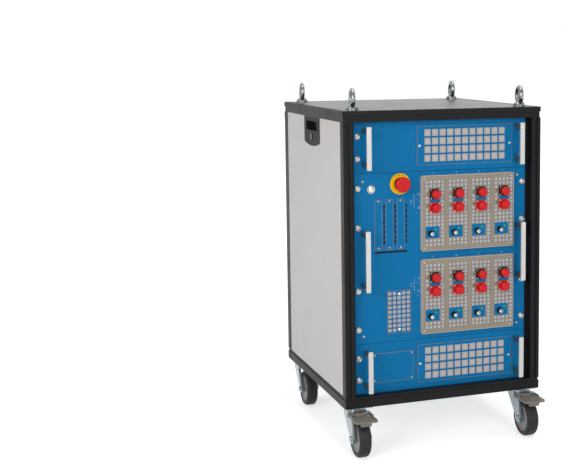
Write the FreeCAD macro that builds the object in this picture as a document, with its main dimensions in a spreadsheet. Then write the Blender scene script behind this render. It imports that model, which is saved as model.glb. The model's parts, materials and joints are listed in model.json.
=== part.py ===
import FreeCAD, Part
import math
import operator
import os
import Sketcher

# A battery cycler: a sixteen-unit rack cabinet on four swivel casters.
# Row frame: X to the right seen from the front, -Y to the front, +Z up, in millimetres.
# The origin lies on the floor, midway between the cabinet's sides and midway between the
# tips of the brake pedals and the cabinet's back.

os.makedirs("parts", exist_ok=True)
Vector = FreeCAD.Vector
doc = FreeCAD.newDocument("battery_cycler")

# Driving dimensions, each written once and kept in the sheet under its own name.
SIZES = {
    # cabinet
    "rack_unit": 44.45, "small_units": 3, "main_units": 10,
    "body_width": 554, "body_depth": 572, "caster_height": 128,
    "rail_height": 28.4, "rail_width": 27, "rail_step": 2, "frame_corner": 4,
    "top_band": 13, "bottom_band": 20.8, "fit_gap": 0.4,
    "corner_plate_start": 20, "eye_plate": 58, "eye_plate_thick": 16, "caster_seat": 64,
    "caster_seat_thick": 8,
    "cover_thick": 3, "cover_rebate": 14, "floor_thick": 2,
    "upright_width": 26.5, "upright_setback": 1, "upright_wall": 2.5,
    "front_upright_depth": 27, "rear_upright_depth": 32,
    "groove_inset": 9.5, "groove_width": 8, "groove_depth": 4,
    "sheet_thick": 1.5, "side_fold": 12, "side_setback": 2,
    # rear panel
    "rear_recess": 8, "rear_thick": 2, "vent_width": 160, "vent_height": 5, "vent_step": 16,
    "vent_rows": 16, "vent_column_step": 200, "inlet_width": 48, "inlet_height": 30,
    "inlet_rise": 70, "inlet_flange": 3, "inlet_lip": 6, "inlet_reach": 26, "inlet_wall": 3,
    "inlet_side_shift": 150,
    "pin_radius": 2, "pin_length": 16, "pin_step": 10,
    # rack fronts
    "panel_recess": 24, "panel_thick": 3, "panel_width": 482.6, "panel_gap": 0.8,
    "hole_spacing": 465.1, "hole_edge": 38.1, "small_hole_step": 57.15, "main_hole_step": 101.6,
    "screw_hole_radius": 3.6, "cup_radius": 8, "cup_height": 2.4, "screw_head_radius": 5.2,
    "screw_head_height": 4.4, "screw_shank_radius": 3, "screw_length": 16,
    "rail_flange": 38, "rail_return": 30, "rail_sheet": 2.5, "rail_outer_gap": 15,
    "case_width": 440, "case_depth": 440, "case_gap": 5, "case_pocket": 34, "case_wall": 3,
    # filter grilles
    "grille_width": 271, "grille_height": 102, "grille_thick": 2, "grille_shift": 66,
    "grille_hole": 18, "grille_column_step": 21.2, "grille_row_step": 22.2,
    "grille_columns": 11, "grille_rows": 4, "grille_margin": 3, "screen_thick": 1.2,
    "small_grille_width": 68, "small_grille_height": 114.5, "small_grille_side": 121,
    "small_grille_drop": 143.6, "small_hole_width": 10.4, "small_hole_height": 9.4,
    "small_column_step": 12.9, "small_row_step": 12.2, "small_columns": 5, "small_rows": 9,
    "small_screw_rise": 47.4, "small_boss_radius": 6.2,
    # slot plates, vents and covers on the main panel
    "slot_count": 3, "slot_width": 20.6, "slot_height": 131, "slot_step": 30.5,
    "slot_side": 176.7, "slot_rise": 88.2, "slot_thick": 1.6, "slot_corner": 2,
    "slot_opening": 13, "slot_opening_height": 108,
    "dash_width": 3.6, "dash_height": 9.4, "dash_step": 13.3, "dash_count": 8, "dash_offset": 16.1,
    "long_slot_width": 89, "long_slot_height": 4.6, "long_slot_rise": 15.6, "long_slot_side": 142.3,
    "service_width": 113.5, "service_height": 77.6, "service_side": 138.3, "service_thick": 2,
    "service_corner": 3, "service_margin": 8,
    # channels
    "plate_width": 263.6, "plate_height": 198, "plate_proud": 13, "plate_wall": 2,
    "plate_shift": 70.5, "plate_pitch": 220.4, "plate_rise": 1.7, "plate_corner": 3,
    "plate_margin": 10, "channel_count": 4, "channel_pitch": 65.9, "channel_shift": 3.9,
    "mesh_hole": 7.8, "mesh_column_step": 11.1, "mesh_row_step": 10.3, "mesh_columns": 5,
    "mesh_rows": 17, "rows_above": 2, "rows_beside_sockets": 6, "rows_between": 4,
    "rows_beside_window": 3, "rows_below": 2,
    "socket_width": 28.5, "socket_height": 27, "socket_base": 4, "socket_corner": 3,
    "socket_rise": 50.9, "socket_drop": 36.2, "socket_collar": 8.8, "socket_bore": 6,
    "socket_reach": 14, "cap_radius": 11.2, "cap_gap": 0.3, "cap_length": 15, "cap_top": 2.5,
    "cap_round": 2, "cap_stand": 0.3,
    "strip_height": 7, "strip_rise": 32.5, "window_width": 38.4, "window_height": 31,
    "window_left": 6.8, "window_drop": 49.6, "badge_thick": 1, "badge_corner": 1,
    "bnc_left": 12.7, "bnc_drop": 51.9, "bnc_flange": 7.4, "bnc_flange_thick": 2.5, "bnc_barrel": 4.8,
    "bnc_reach": 14, "bnc_bore": 4, "bnc_depth": 9, "bnc_pin": 0.9,
    "lamp_right": 2, "lamp_drop": 42.6, "lamp_radius": 3.4, "lamp_height": 3.6, "lamp_round": 1.4,
    # handles
    "bar_width": 12.4, "bar_thick": 5, "bar_small": 110, "bar_main": 158, "bar_proud": 38,
    "bar_corner": 2.5, "post_width": 11, "post_height": 15, "post_inset": 4, "post_corner": 3,
    "handle_side": 213.7, "main_handle_side": 218,
    # emergency stop and power button
    "estop_side": 116.7, "estop_rise": 192.2, "estop_ring_radius": 27.5, "estop_ring_thick": 2.4,
    "estop_collar_radius": 16, "estop_collar_height": 12, "collar_chamfer": 1.2, "estop_collar_tail": 14,
    "estop_stem_radius": 8, "estop_head_radius": 20, "estop_head_start": 17,
    "estop_head_thick": 13, "estop_spigot_radius": 5, "estop_spigot": 7, "estop_round": 5,
    "running_gap": 0.05, "clear_gap": 0.3,
    "button_side": 196.5, "button_rise": 181, "bezel_radius": 10.5, "bezel_height": 3.5,
    "bezel_tail": 15, "bezel_tail_radius": 9.4, "plunger_radius": 7.4, "plunger_proud": 4.4,
    "plunger_dome": 1.2,
    # side pulls and locks
    "pull_width": 143, "pull_side_height": 68, "pull_height": 78, "pull_flange": 2,
    "pull_opening_width": 103, "pull_opening_height": 25, "pull_opening_drop": 11,
    "pull_depth": 20, "pull_wall": 2.5, "pull_corner": 6, "lock_drop": 52, "lock_radius": 8,
    "lock_flange_radius": 10, "lock_flange": 1.6, "lock_boss": 12, "lock_boss_depth": 16,
    "key_slot_width": 2.4, "key_slot_height": 9, "key_slot_depth": 6, "cam_width": 14,
    "cam_length": 68, "cam_thick": 2.5, "pull_rise_gap": 0.5,
    # lifting eyes
    "eye_side_inset": 41, "eye_end_inset": 50, "eye_outer": 27, "eye_wire": 12, "eye_height": 53,
    "eye_collar_radius": 15, "eye_collar_height": 9, "eye_neck_radius": 8, "eye_shank_radius": 6,
    "eye_shank_length": 20, "eye_washer_radius": 18, "eye_washer_thick": 3, "eye_shank_gap": 0.2,
    "eye_turn": 10,
    # casters
    "swivel_side_inset": 39, "swivel_inset": 41, "caster_plate": 76, "caster_plate_thick": 3,
    "caster_plate_corner": 6, "race_radius": 27, "race_height": 10, "swivel_gap": 0.5,
    "kingpin_radius": 6, "rivet_radius": 10, "rivet_height": 5,
    "fork_outer": 50, "fork_throat": 35, "fork_wall": 2.5, "fork_web": 3, "fork_crown_radius": 26,
    "fork_rear": 22, "fork_ear": 43, "fork_boss": 13, "trail": 41,
    "wheel_radius": 50, "wheel_width": 32, "hub_radius": 36, "hub_width": 29, "hub_boss": 8.5,
    "hub_web": 25, "hub_rim": 3, "axle_radius": 4, "axle_head_radius": 7, "axle_head": 4.5,
    "tread_width": 16, "tyre_shoulder": 7,
    "pedal_pivot": 36, "pedal_pivot_drop": 5.5, "knuckle_radius": 5.4, "pedal_pin_radius": 2.5,
    "pedal_neck": 30, "pedal_width": 60, "pedal_shoulder": 57, "pedal_reach": 100,
    "pedal_thick": 5, "pedal_lift": 1, "pedal_corner": 8, "pedal_ribs": 4, "pedal_rib_step": 7,
    "pedal_rib_width": 2.4, "pedal_rib_height": 1.2, "pedal_rib_length": 44,
    "pedal_hole": 3, "pedal_hole_inset": 4, "arm_gap": 0.6, "arm_width": 4, "arm_length": 30,
    "arm_height": 9, "tab_start": 84, "tab_end": 94, "tab_taper": 2, "tab_drop": 10.6, "tab_width": 28,
}


class Term:
    """A size as a number, with the sheet expression that gives it."""

    def __init__(self, value, text):
        self.value = float(value)
        self.text = text

    def __add__(self, other):
        return join(self, "+", other)

    def __radd__(self, other):
        return join(other, "+", self)

    def __sub__(self, other):
        return join(self, "-", other)

    def __rsub__(self, other):
        return join(other, "-", self)

    def __mul__(self, other):
        return join(self, "*", other)

    def __rmul__(self, other):
        return join(other, "*", self)

    def __truediv__(self, other):
        return join(self, "/", other)

    def __neg__(self):
        return join(0, "-", self)


OPERATORS = {"+": operator.add, "-": operator.sub, "*": operator.mul, "/": operator.truediv}


def term(item):
    if isinstance(item, Term):
        return item
    return Term(item, f"({float(item)})")


def join(left, sign, right):
    left = term(left)
    right = term(right)
    value = OPERATORS[sign](left.value, right.value)
    return Term(value, f"({left.text} {sign} {right.text})")


def fill_sheet():
    """Put every driving dimension in the sheet, and give back one Term for each."""
    sheet = doc.addObject("Spreadsheet::Sheet", "Sizes")
    terms = {}
    for row, (name, value) in enumerate(SIZES.items(), start=1):
        sheet.set(f"A{row}", name)
        sheet.set(f"B{row}", str(value))
        sheet.setAlias(f"B{row}", name)
        terms[name] = Term(value, f"Sizes.{name}")
    doc.recompute()
    return terms


class Named:
    """The sheet's sizes, read as attributes."""

    def __init__(self, terms):
        self.__dict__.update(terms)


size = Named(fill_sheet())

# Planes and heights that many pieces share.
base = size.caster_height
small_height = size.small_units * size.rack_unit
main_height = size.main_units * size.rack_unit
panels_bottom = base + size.rail_height
main_bottom = panels_bottom + small_height
main_middle = main_bottom + main_height / 2
upper_bottom = main_bottom + main_height
panels_height = small_height * 2 + main_height
panels_top = panels_bottom + panels_height
top = panels_top + size.rail_height
half_width = size.body_width / 2
front = (size.pedal_reach - size.swivel_inset - size.body_depth) / 2
back = front + size.body_depth
body_middle = front + size.body_depth / 2
panel_face = front + size.panel_recess
panel_back = panel_face + size.panel_thick

TO_FRONT = FreeCAD.Rotation(Vector(1, 0, 0), 90)
TO_BACK = FreeCAD.Rotation(Vector(1, 0, 0), -90)
TO_RIGHT = FreeCAD.Rotation(Vector(0, 1, 0), 90)
TO_LEFT = FreeCAD.Rotation(Vector(0, 1, 0), -90)
UPRIGHT = FreeCAD.Rotation()

nodes = {}


def keep(name, item):
    """Make a document object the sub-part called name."""
    item.Label = name
    nodes[name] = item
    return item


def bind(item, prop, value):
    item.setExpression(prop, term(value).text)


def place(item, at, turn=UPRIGHT):
    item.Placement = FreeCAD.Placement(Vector(*[term(value).value for value in at]), turn)
    for axis, value in zip("xyz", at):
        bind(item, f"Placement.Base.{axis}", value)
    return item


def box(name, length, width, height, at):
    """A box with its lowest corner at the point at."""
    item = doc.addObject("Part::Box", name)
    bind(item, "Length", length)
    bind(item, "Width", width)
    bind(item, "Height", height)
    return place(item, at)


def centred_box(name, length, width, height, middle, z):
    """A box centred on the point middle in X and Y, standing on height z."""
    x, y = middle
    return box(name, length, width, height, (x - length / 2, y - width / 2, z))


def cylinder(name, radius, height, at, turn=UPRIGHT):
    item = doc.addObject("Part::Cylinder", name)
    bind(item, "Radius", radius)
    bind(item, "Height", height)
    return place(item, at, turn)


def fuse(name, shapes):
    item = doc.addObject("Part::MultiFuse", name)
    item.Shapes = shapes
    return item


def cut(name, start, tools):
    item = doc.addObject("Part::Cut", name)
    item.Base = start
    item.Tool = tools[0] if len(tools) == 1 else fuse(f"{name}_tools", tools)
    return item


def mirrored(name, source):
    """The same piece on the cabinet's other side."""
    item = doc.addObject("Part::Mirroring", name)
    item.Source = source
    item.Base = Vector(0, 0, 0)
    item.Normal = Vector(1, 0, 0)
    return item


def group(name, pieces):
    """Several separate solids that share one node."""
    item = doc.addObject("Part::Compound", name)
    item.Links = pieces
    return keep(name, item)


def copies(name, master, places):
    """The same solid at each of several places, as one sub-part."""
    doc.recompute()
    shapes = []
    for x, y, z in places:
        shape = master.Shape.copy()
        shape.translate(Vector(term(x).value, term(y).value, term(z).value))
        shapes.append(shape)
    item = doc.addObject("Part::Feature", name)
    item.Shape = Part.makeCompound(shapes)
    return keep(name, item)


def new_body(name):
    return doc.addObject("PartDesign::Body", name)


def origin_feature(body, role):
    return next(item for item in body.Origin.OriginFeatures if item.Role == role)


def new_sketch(body, role, at):
    """A sketch on one of the body's own planes, moved to the point at in the plane's frame."""
    sketch = body.newObject("Sketcher::SketchObject", f"{body.Name}_sketch")
    sketch.AttachmentSupport = [(origin_feature(body, role), "")]
    sketch.MapMode = "FlatFace"
    values = [term(value) for value in at]
    offset = Vector(*[value.value for value in values])
    sketch.AttachmentOffset = FreeCAD.Placement(offset, UPRIGHT)
    for axis, value in zip("xyz", values):
        bind(sketch, f"AttachmentOffset.Base.{axis}", value)
    return sketch


def front_sketch(body, x, y, z):
    """A sketch that faces the front, with its own origin at the point x, y, z."""
    return new_sketch(body, "XZ_Plane", (x, z, -term(y)))


def side_sketch(body, x, y, z):
    """A sketch that faces the right-hand side, with its own origin at the point x, y, z."""
    return new_sketch(body, "YZ_Plane", (y, z, x))


def floor_sketch(body, x, y, z):
    return new_sketch(body, "XY_Plane", (x, y, z))


def dimension(sketch, kind, ends, value):
    """One driving constraint, bound to the sheet."""
    value = term(value)
    index = sketch.addConstraint(Sketcher.Constraint(kind, *ends, value.value))
    sketch.setExpression(f"Constraints[{index}]", value.text)


def chain(sketch, edges):
    """Join the ends of consecutive edges into one closed outline."""
    for this, following in zip(edges, edges[1:] + edges[:1]):
        sketch.addConstraint(Sketcher.Constraint("Coincident", this[0], this[2], following[0], following[1]))


def rectangle(sketch, width, height):
    """A rectangle centred on the sketch's origin."""
    half_x = term(width).value / 2
    half_y = term(height).value / 2
    signs = ((-1, -1), (1, -1), (1, 1), (-1, 1))
    corners = [Vector(half_x * across, half_y * up) for across, up in signs]
    first = sketch.GeometryCount
    for index in range(4):
        sketch.addGeometry(Part.LineSegment(corners[index], corners[(index + 1) % 4]), False)
    chain(sketch, [(first + index, 1, 2) for index in range(4)])
    for index in (0, 2):
        sketch.addConstraint(Sketcher.Constraint("Horizontal", first + index))
        sketch.addConstraint(Sketcher.Constraint("Vertical", first + index + 1))
    sketch.addConstraint(Sketcher.Constraint("Symmetric", first, 1, first + 2, 1, -1, 1))
    dimension(sketch, "DistanceX", (first, 1, first, 2), width)
    dimension(sketch, "DistanceY", (first + 1, 1, first + 1, 2), height)


def rounded_rectangle(sketch, width, height, radius):
    """A rectangle with round corners, centred on the sketch's origin."""
    reach_x = term(width / 2 - radius).value
    reach_y = term(height / 2 - radius).value
    bend = term(radius).value
    first = sketch.GeometryCount
    signs = ((1, -1), (1, 1), (-1, 1), (-1, -1))
    centres = [Vector(reach_x * across, reach_y * up) for across, up in signs]
    normal = Vector(0, 0, 1)
    for index, centre in enumerate(centres):
        start = (index - 1) * math.pi / 2
        arc = Part.ArcOfCircle(Part.Circle(centre, normal, bend), start, start + math.pi / 2)
        sketch.addGeometry(arc, False)
    for index in range(4):
        here = sketch.Geometry[first + index].EndPoint
        there = sketch.Geometry[first + (index + 1) % 4].StartPoint
        sketch.addGeometry(Part.LineSegment(here, there), False)
    for index in range(4):
        line = first + 4 + index
        sketch.addConstraint(Sketcher.Constraint("Tangent", first + index, 2, line, 1))
        sketch.addConstraint(Sketcher.Constraint("Tangent", line, 2, first + (index + 1) % 4, 1))
        if index:
            sketch.addConstraint(Sketcher.Constraint("Equal", first, first + index))
    sketch.addConstraint(Sketcher.Constraint("Vertical", first + 4))
    sketch.addConstraint(Sketcher.Constraint("Horizontal", first + 5))
    sketch.addConstraint(Sketcher.Constraint("Vertical", first + 6))
    sketch.addConstraint(Sketcher.Constraint("Symmetric", first, 3, first + 2, 3, -1, 1))
    dimension(sketch, "Radius", (first,), radius)
    dimension(sketch, "DistanceX", (first + 3, 3, first, 3), width - radius * 2)
    dimension(sketch, "DistanceY", (first, 3, first + 1, 3), height - radius * 2)


def circle(sketch, radius):
    index = sketch.addGeometry(Part.Circle(Vector(0, 0, 0), Vector(0, 0, 1), term(radius).value), False)
    sketch.addConstraint(Sketcher.Constraint("Coincident", index, 3, -1, 1))
    dimension(sketch, "Radius", (index,), radius)


def outline(sketch, points):
    """A closed outline of points (x, y), or (x, y, radius) where a bend of that radius leads there.

    A positive radius bends to the left of the way from the last point, a negative one to the right.
    """
    places = [Vector(term(point[0]).value, term(point[1]).value) for point in points]
    edges = []
    for index, point in enumerate(points):
        here = places[index - 1]
        there = places[index]
        if len(point) == 2:
            edges.append((sketch.addGeometry(Part.LineSegment(here, there), False), 1, 2))
            continue
        radius = term(point[2])
        chord = there - here
        height = math.sqrt(max(radius.value ** 2 - chord.Length ** 2 / 4, 0))
        side = Vector(-chord.y, chord.x)
        side.normalize()
        sign = math.copysign(1, radius.value)
        centre = (here + there) * 0.5 + side * (height * sign)
        ends = (here, there) if sign > 0 else (there, here)
        angles = [math.atan2(end.y - centre.y, end.x - centre.x) for end in ends]
        ring = Part.Circle(centre, Vector(0, 0, 1), abs(radius.value))
        edge = sketch.addGeometry(Part.ArcOfCircle(ring, angles[0], angles[1]), False)
        edges.append((edge, 1, 2) if sign > 0 else (edge, 2, 1))
        dimension(sketch, "Radius", (edge,), radius * sign)
    chain(sketch, edges)
    for (edge, start, end), point in zip(edges, points):
        for kind, value in (("DistanceX", point[0]), ("DistanceY", point[1])):
            dimension(sketch, kind, (-1, 1, edge, end), value)


def pad(body, sketch, length, both_ways=False):
    item = body.newObject("PartDesign::Pad", f"{body.Name}_pad")
    item.Profile = sketch
    item.Midplane = both_ways
    bind(item, "Length", length)
    return item


def pocket(body, sketch, depth=None, both_ways=False, forward=False):
    """Cut the sketch through all, or to a depth behind its plane or forward of it."""
    item = body.newObject("PartDesign::Pocket", f"{body.Name}_pocket")
    item.Profile = sketch
    item.Refine = False
    if depth is None:
        item.Type = "ThroughAll"
        item.Midplane = True
        return item
    item.Midplane = both_ways
    item.Reversed = forward
    bind(item, "Length", depth)
    return item


def pattern(body, feature, *ways):
    """A pattern along one or two of the body's axes; each way is (axis, backwards, step, count)."""
    item = body.newObject("PartDesign::LinearPattern", f"{body.Name}_pattern")
    item.Refine = False
    for suffix, (axis, backwards, step, count) in zip(("", "2"), ways):
        setattr(item, f"Direction{suffix}", (origin_feature(body, f"{axis}_Axis"), [""]))
        setattr(item, f"Reversed{suffix}", backwards)
        bind(item, f"Length{suffix}", step * (count - 1))
        bind(item, f"Occurrences{suffix}", count)
    item.Originals = [feature]
    body.Tip = item
    return item


def turned(name, points):
    """A turned piece: points (radius, height) revolved about the body's own Z axis."""
    body = new_body(name)
    sketch = new_sketch(body, "XZ_Plane", (0, 0, 0))
    outline(sketch, points)
    item = body.newObject("PartDesign::Revolution", f"{name}_turn")
    item.Profile = sketch
    item.ReferenceAxis = (sketch, ["V_Axis"])
    return body


def frame_body(name, low, first_height, outlines, plate, plate_low, plate_thick):
    """Rails in two bands, one stepped in from the other, and a square plate across each corner."""
    body = new_body(name)
    bands = ((low, first_height), (low + first_height, size.rail_height - first_height))
    for (width, depth), (start, height) in zip(outlines, bands):
        sketch = floor_sketch(body, 0, body_middle, start)
        rounded_rectangle(sketch, width, depth, size.frame_corner)
        rectangle(sketch, size.body_width - size.rail_width * 2, size.body_depth - size.rail_width * 2)
        pad(body, sketch, height)
    corner = size.corner_plate_start + plate / 2
    sketch = floor_sketch(body, corner - half_width, front + corner, plate_low)
    rectangle(sketch, plate, plate)
    square = pad(body, sketch, plate_thick)
    across = ("X", False, size.body_width - corner * 2, 2)
    along = ("Y", False, size.body_depth - corner * 2, 2)
    pattern(body, square, across, along)
    return body


def make_frames():
    full = (size.body_width, size.body_depth)
    stepped = (size.body_width - size.rail_step * 2, size.body_depth - size.rail_step * 2)
    plate_low = top - size.cover_thick - size.eye_plate_thick
    body = frame_body("top_frame", panels_top, size.rail_height - size.top_band, (stepped, full),
                      size.eye_plate, plate_low, size.eye_plate_thick)
    sketch = floor_sketch(body, 0, body_middle, top)
    rectangle(sketch, size.body_width - size.cover_rebate * 2, size.body_depth - size.cover_rebate * 2)
    pocket(body, sketch, size.cover_thick)
    eye_holes(body, top)
    keep("top_frame", body)
    body = frame_body("bottom_frame", base, size.bottom_band, (full, stepped),
                      size.caster_seat, base, size.caster_seat_thick)
    keep("bottom_frame", body)


def eye_holes(body, height):
    """Four clearance holes for the shanks of the lifting eyes."""
    sketch = floor_sketch(body, size.eye_side_inset - half_width, front + size.eye_end_inset, height)
    circle(sketch, size.eye_shank_radius + size.eye_shank_gap)
    hole = pocket(body, sketch)
    across = ("X", False, size.body_width - size.eye_side_inset * 2, 2)
    along = ("Y", False, size.body_depth - size.eye_end_inset * 2, 2)
    pattern(body, hole, across, along)


def make_covers():
    """The plate that closes the top, and the floor that rests on the bottom frame's corners."""
    body = new_body("top_cover")
    sketch = floor_sketch(body, 0, body_middle, top - size.cover_thick)
    margin = (size.cover_rebate + size.fit_gap) * 2
    rectangle(sketch, size.body_width - margin, size.body_depth - margin)
    pad(body, sketch, size.cover_thick)
    eye_holes(body, top)
    keep("top_cover", body)
    room = (size.rail_width + size.fit_gap) * 2
    floor = centred_box("bottom_plate", size.body_width - room, size.body_depth - room, size.floor_thick,
                        (0, body_middle), base + size.caster_seat_thick)
    keep("bottom_plate", floor)


def make_uprights():
    """Hollow corner posts; the front ones have a groove down the face."""
    outer = half_width - size.upright_setback
    width = size.upright_width - size.upright_setback
    wall = size.upright_wall
    left = -outer
    setback = size.upright_setback
    for name, start, depth, grooved in (
        ("front_uprights", front + setback, size.front_upright_depth - setback, True),
        ("rear_uprights", back - size.rear_upright_depth, size.rear_upright_depth - setback, False),
    ):
        post = box(f"{name}_post", width, depth, panels_height, (left, start, panels_bottom))
        face = start + size.groove_depth if grooved else start
        room = depth - (size.groove_depth if grooved else term(0)) - wall * 2
        core_at = (left + wall, face + wall, panels_bottom)
        tools = [box(f"{name}_core", width - wall * 2, room, panels_height, core_at)]
        if grooved:
            groove_left = -half_width + size.groove_inset
            tools.append(box(f"{name}_groove", size.groove_width, size.groove_depth, panels_height,
                             (groove_left, start, panels_bottom)))
        left_post = cut(f"{name}_left", post, tools)
        group(name, [left_post, mirrored(f"{name}_right", left_post)])


side_start = front + size.front_upright_depth + size.fit_gap
side_end = back - size.rear_upright_depth - size.fit_gap
side_length = side_end - side_start
side_middle = (side_start + side_end) / 2
side_face = half_width - size.side_setback
side_bottom = panels_bottom + size.fit_gap
side_height = panels_height - size.fit_gap * 2
side_top = side_bottom + side_height
pull_top = side_top - size.pull_rise_gap
lock_height = pull_top - size.lock_drop


def make_side_panels():
    """Folded sheet trays with a hole behind the pull; the right one is made, the left one mirrored."""
    body = new_body("side_panel_right")
    middle = side_bottom + side_height / 2
    sketch = side_sketch(body, side_face - size.side_fold, side_middle, middle)
    rectangle(sketch, side_length, side_height)
    pad(body, sketch, size.side_fold)
    sketch = side_sketch(body, side_face - size.side_fold, side_middle, middle)
    rectangle(sketch, side_length - size.sheet_thick * 2, side_height - size.sheet_thick * 2)
    pocket(body, sketch, size.side_fold - size.sheet_thick, forward=True)
    cup_height = size.pull_opening_height + size.pull_wall * 2 + size.fit_gap * 2
    cup_width = size.pull_opening_width + size.pull_wall * 2 + size.fit_gap * 2
    cup_middle = pull_top - size.pull_opening_drop - size.pull_opening_height / 2
    sketch = side_sketch(body, side_face, side_middle, cup_middle)
    rectangle(sketch, cup_width, cup_height)
    pocket(body, sketch)
    sketch = side_sketch(body, side_face, side_middle, lock_height)
    circle(sketch, size.lock_boss + size.fit_gap)
    pocket(body, sketch, size.sheet_thick * 2, both_ways=True)
    keep("side_panel_right", body)
    keep("side_panel_left", mirrored("side_panel_left", body))


def make_pulls():
    """Black moulded finger pulls: a flange with a bulge for the lock, a deep cup and a lock boss."""
    body = new_body("pull_master")
    half = size.pull_width / 2
    side_drop = size.pull_side_height
    bulge = size.pull_height - side_drop
    bend = (half * half + bulge * bulge) / (bulge * 2)
    sketch = side_sketch(body, side_face, side_middle, pull_top)
    outline(sketch, [(half, 0), (-half, 0), (-half, -side_drop), (half, -side_drop, bend)])
    pad(body, sketch, size.pull_flange)
    cup_middle = pull_top - size.pull_opening_drop - size.pull_opening_height / 2
    wall = size.pull_wall * 2
    sketch = side_sketch(body, side_face - size.pull_depth, side_middle, cup_middle)
    cup_width = size.pull_opening_width + wall
    rounded_rectangle(sketch, cup_width, size.pull_opening_height + wall, size.pull_corner)
    pad(body, sketch, size.pull_depth)
    sketch = side_sketch(body, side_face - size.lock_boss_depth, side_middle, lock_height)
    circle(sketch, size.lock_boss)
    pad(body, sketch, size.lock_boss_depth)
    sketch = side_sketch(body, side_face + size.pull_flange, side_middle, cup_middle)
    rounded_rectangle(sketch, size.pull_opening_width, size.pull_opening_height, size.pull_corner)
    pocket(body, sketch, size.pull_depth + size.pull_flange - size.pull_wall)
    sketch = side_sketch(body, side_face, side_middle, lock_height)
    circle(sketch, size.lock_radius + size.running_gap)
    pocket(body, sketch)
    group("latch_cups", [body, mirrored("pull_left", body)])


def make_locks():
    """Key cylinders with a flat key slot, and the cam that each one turns behind the panel."""
    radius = size.lock_radius
    face = side_face + size.pull_flange + size.clear_gap + size.lock_flange
    cam_face = half_width - size.rail_width - size.clear_gap
    barrel = turned("lock_barrel", [
        (0, 0), (size.lock_flange_radius, 0), (size.lock_flange_radius, size.lock_flange),
        (radius, size.lock_flange), (radius, face - cam_face), (0, face - cam_face),
    ])
    place(barrel, (face, side_middle, lock_height), TO_LEFT)
    slot_width = size.key_slot_width
    slot_low = lock_height - size.key_slot_height / 2
    slot = box("key_slot", size.key_slot_depth, slot_width, size.key_slot_height,
               (face - size.key_slot_depth, side_middle - slot_width / 2, slot_low))
    cylinder_piece = cut("lock_cylinder", barrel, [slot])
    cam = box("lock_cam", size.cam_thick, size.cam_width, size.cam_length,
              (cam_face - size.cam_thick, side_middle - size.cam_width / 2, lock_height - size.cam_width / 2))
    right = group("lock_right", [cylinder_piece, cam])
    keep("lock_left", mirrored("lock_left", right))


def make_rear_panel():
    """The back: a plain sheet with two columns of air slots and the opening for the mains inlet."""
    body = new_body("rear_panel")
    face = back - size.rear_recess
    room = size.upright_width + size.fit_gap
    sketch = front_sketch(body, 0, face, main_middle)
    rectangle(sketch, size.body_width - room * 2, panels_height - size.fit_gap * 2)
    pad(body, sketch, size.rear_thick)
    rise = size.vent_step * (size.vent_rows - 1) / 2
    sketch = front_sketch(body, -size.vent_column_step / 2, face, main_middle - rise)
    rounded_rectangle(sketch, size.vent_width, size.vent_height, size.vent_height / 2 - size.running_gap)
    hole = pocket(body, sketch)
    pattern(body, hole, ("X", False, size.vent_column_step, 2), ("Z", False, size.vent_step, size.vent_rows))
    sketch = front_sketch(body, size.inlet_side_shift, face, panels_bottom + size.inlet_rise)
    rectangle(sketch, size.inlet_width + size.fit_gap, size.inlet_height + size.fit_gap)
    pocket(body, sketch)
    keep("rear_panel", body)


def make_inlet():
    """The appliance inlet in the back: a flanged box with three round pins, and no lead."""
    centre_z = panels_bottom + size.inlet_rise
    face = back - size.rear_recess
    body = new_body("mains_inlet")
    flange = size.inlet_lip * 2
    sketch = front_sketch(body, size.inlet_side_shift, face + size.inlet_flange, centre_z)
    rounded_rectangle(sketch, size.inlet_width + flange, size.inlet_height + flange, size.inlet_flange)
    pad(body, sketch, size.inlet_flange)
    sketch = front_sketch(body, size.inlet_side_shift, face, centre_z)
    rectangle(sketch, size.inlet_width, size.inlet_height)
    pad(body, sketch, size.inlet_reach)
    sketch = front_sketch(body, size.inlet_side_shift, face + size.inlet_flange, centre_z)
    wall = size.inlet_wall * 2
    rounded_rectangle(sketch, size.inlet_width - wall, size.inlet_height - wall, size.inlet_wall)
    room = size.inlet_reach + size.inlet_flange - size.inlet_wall
    pocket(body, sketch, room, forward=True)
    floor = face - size.inlet_reach + size.inlet_wall
    sketch = front_sketch(body, size.inlet_side_shift - size.pin_step, floor + size.pin_length, centre_z)
    circle(sketch, size.pin_radius)
    pin = pad(body, sketch, size.pin_length + size.inlet_wall / 2)
    pattern(body, pin, ("X", False, size.pin_step, 3))
    keep("mains_inlet", body)


small_holes = [size.hole_edge, size.hole_edge + size.small_hole_step]
main_holes = [size.hole_edge, size.hole_edge + size.main_hole_step]


def screw_heights():
    """Heights of the rack screws: two on each side of a small panel, four on each side of the main one."""
    upper = [panels_top - drop for drop in small_holes]
    main = [upper_bottom - drop for drop in main_holes] + [main_bottom + rise for rise in main_holes]
    lower = [main_bottom - drop for drop in small_holes]
    return upper, main, lower


def blank_panel(name, bottom, height, rows):
    """A rack panel with its screw holes."""
    body = new_body(name)
    sketch = front_sketch(body, 0, panel_back, bottom + height / 2)
    rectangle(sketch, size.panel_width, height - size.panel_gap)
    pad(body, sketch, size.panel_thick)
    for row in rows:
        sketch = front_sketch(body, -size.hole_spacing / 2, panel_back, row)
        circle(sketch, size.screw_hole_radius)
        hole = pocket(body, sketch)
        pattern(body, hole, ("X", False, size.hole_spacing, 2))
    return body


def window(body, x, z, width, height):
    """A plain rectangular opening in a rack panel."""
    sketch = front_sketch(body, x, panel_back, z)
    rectangle(sketch, width, height)
    return pocket(body, sketch)


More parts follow.
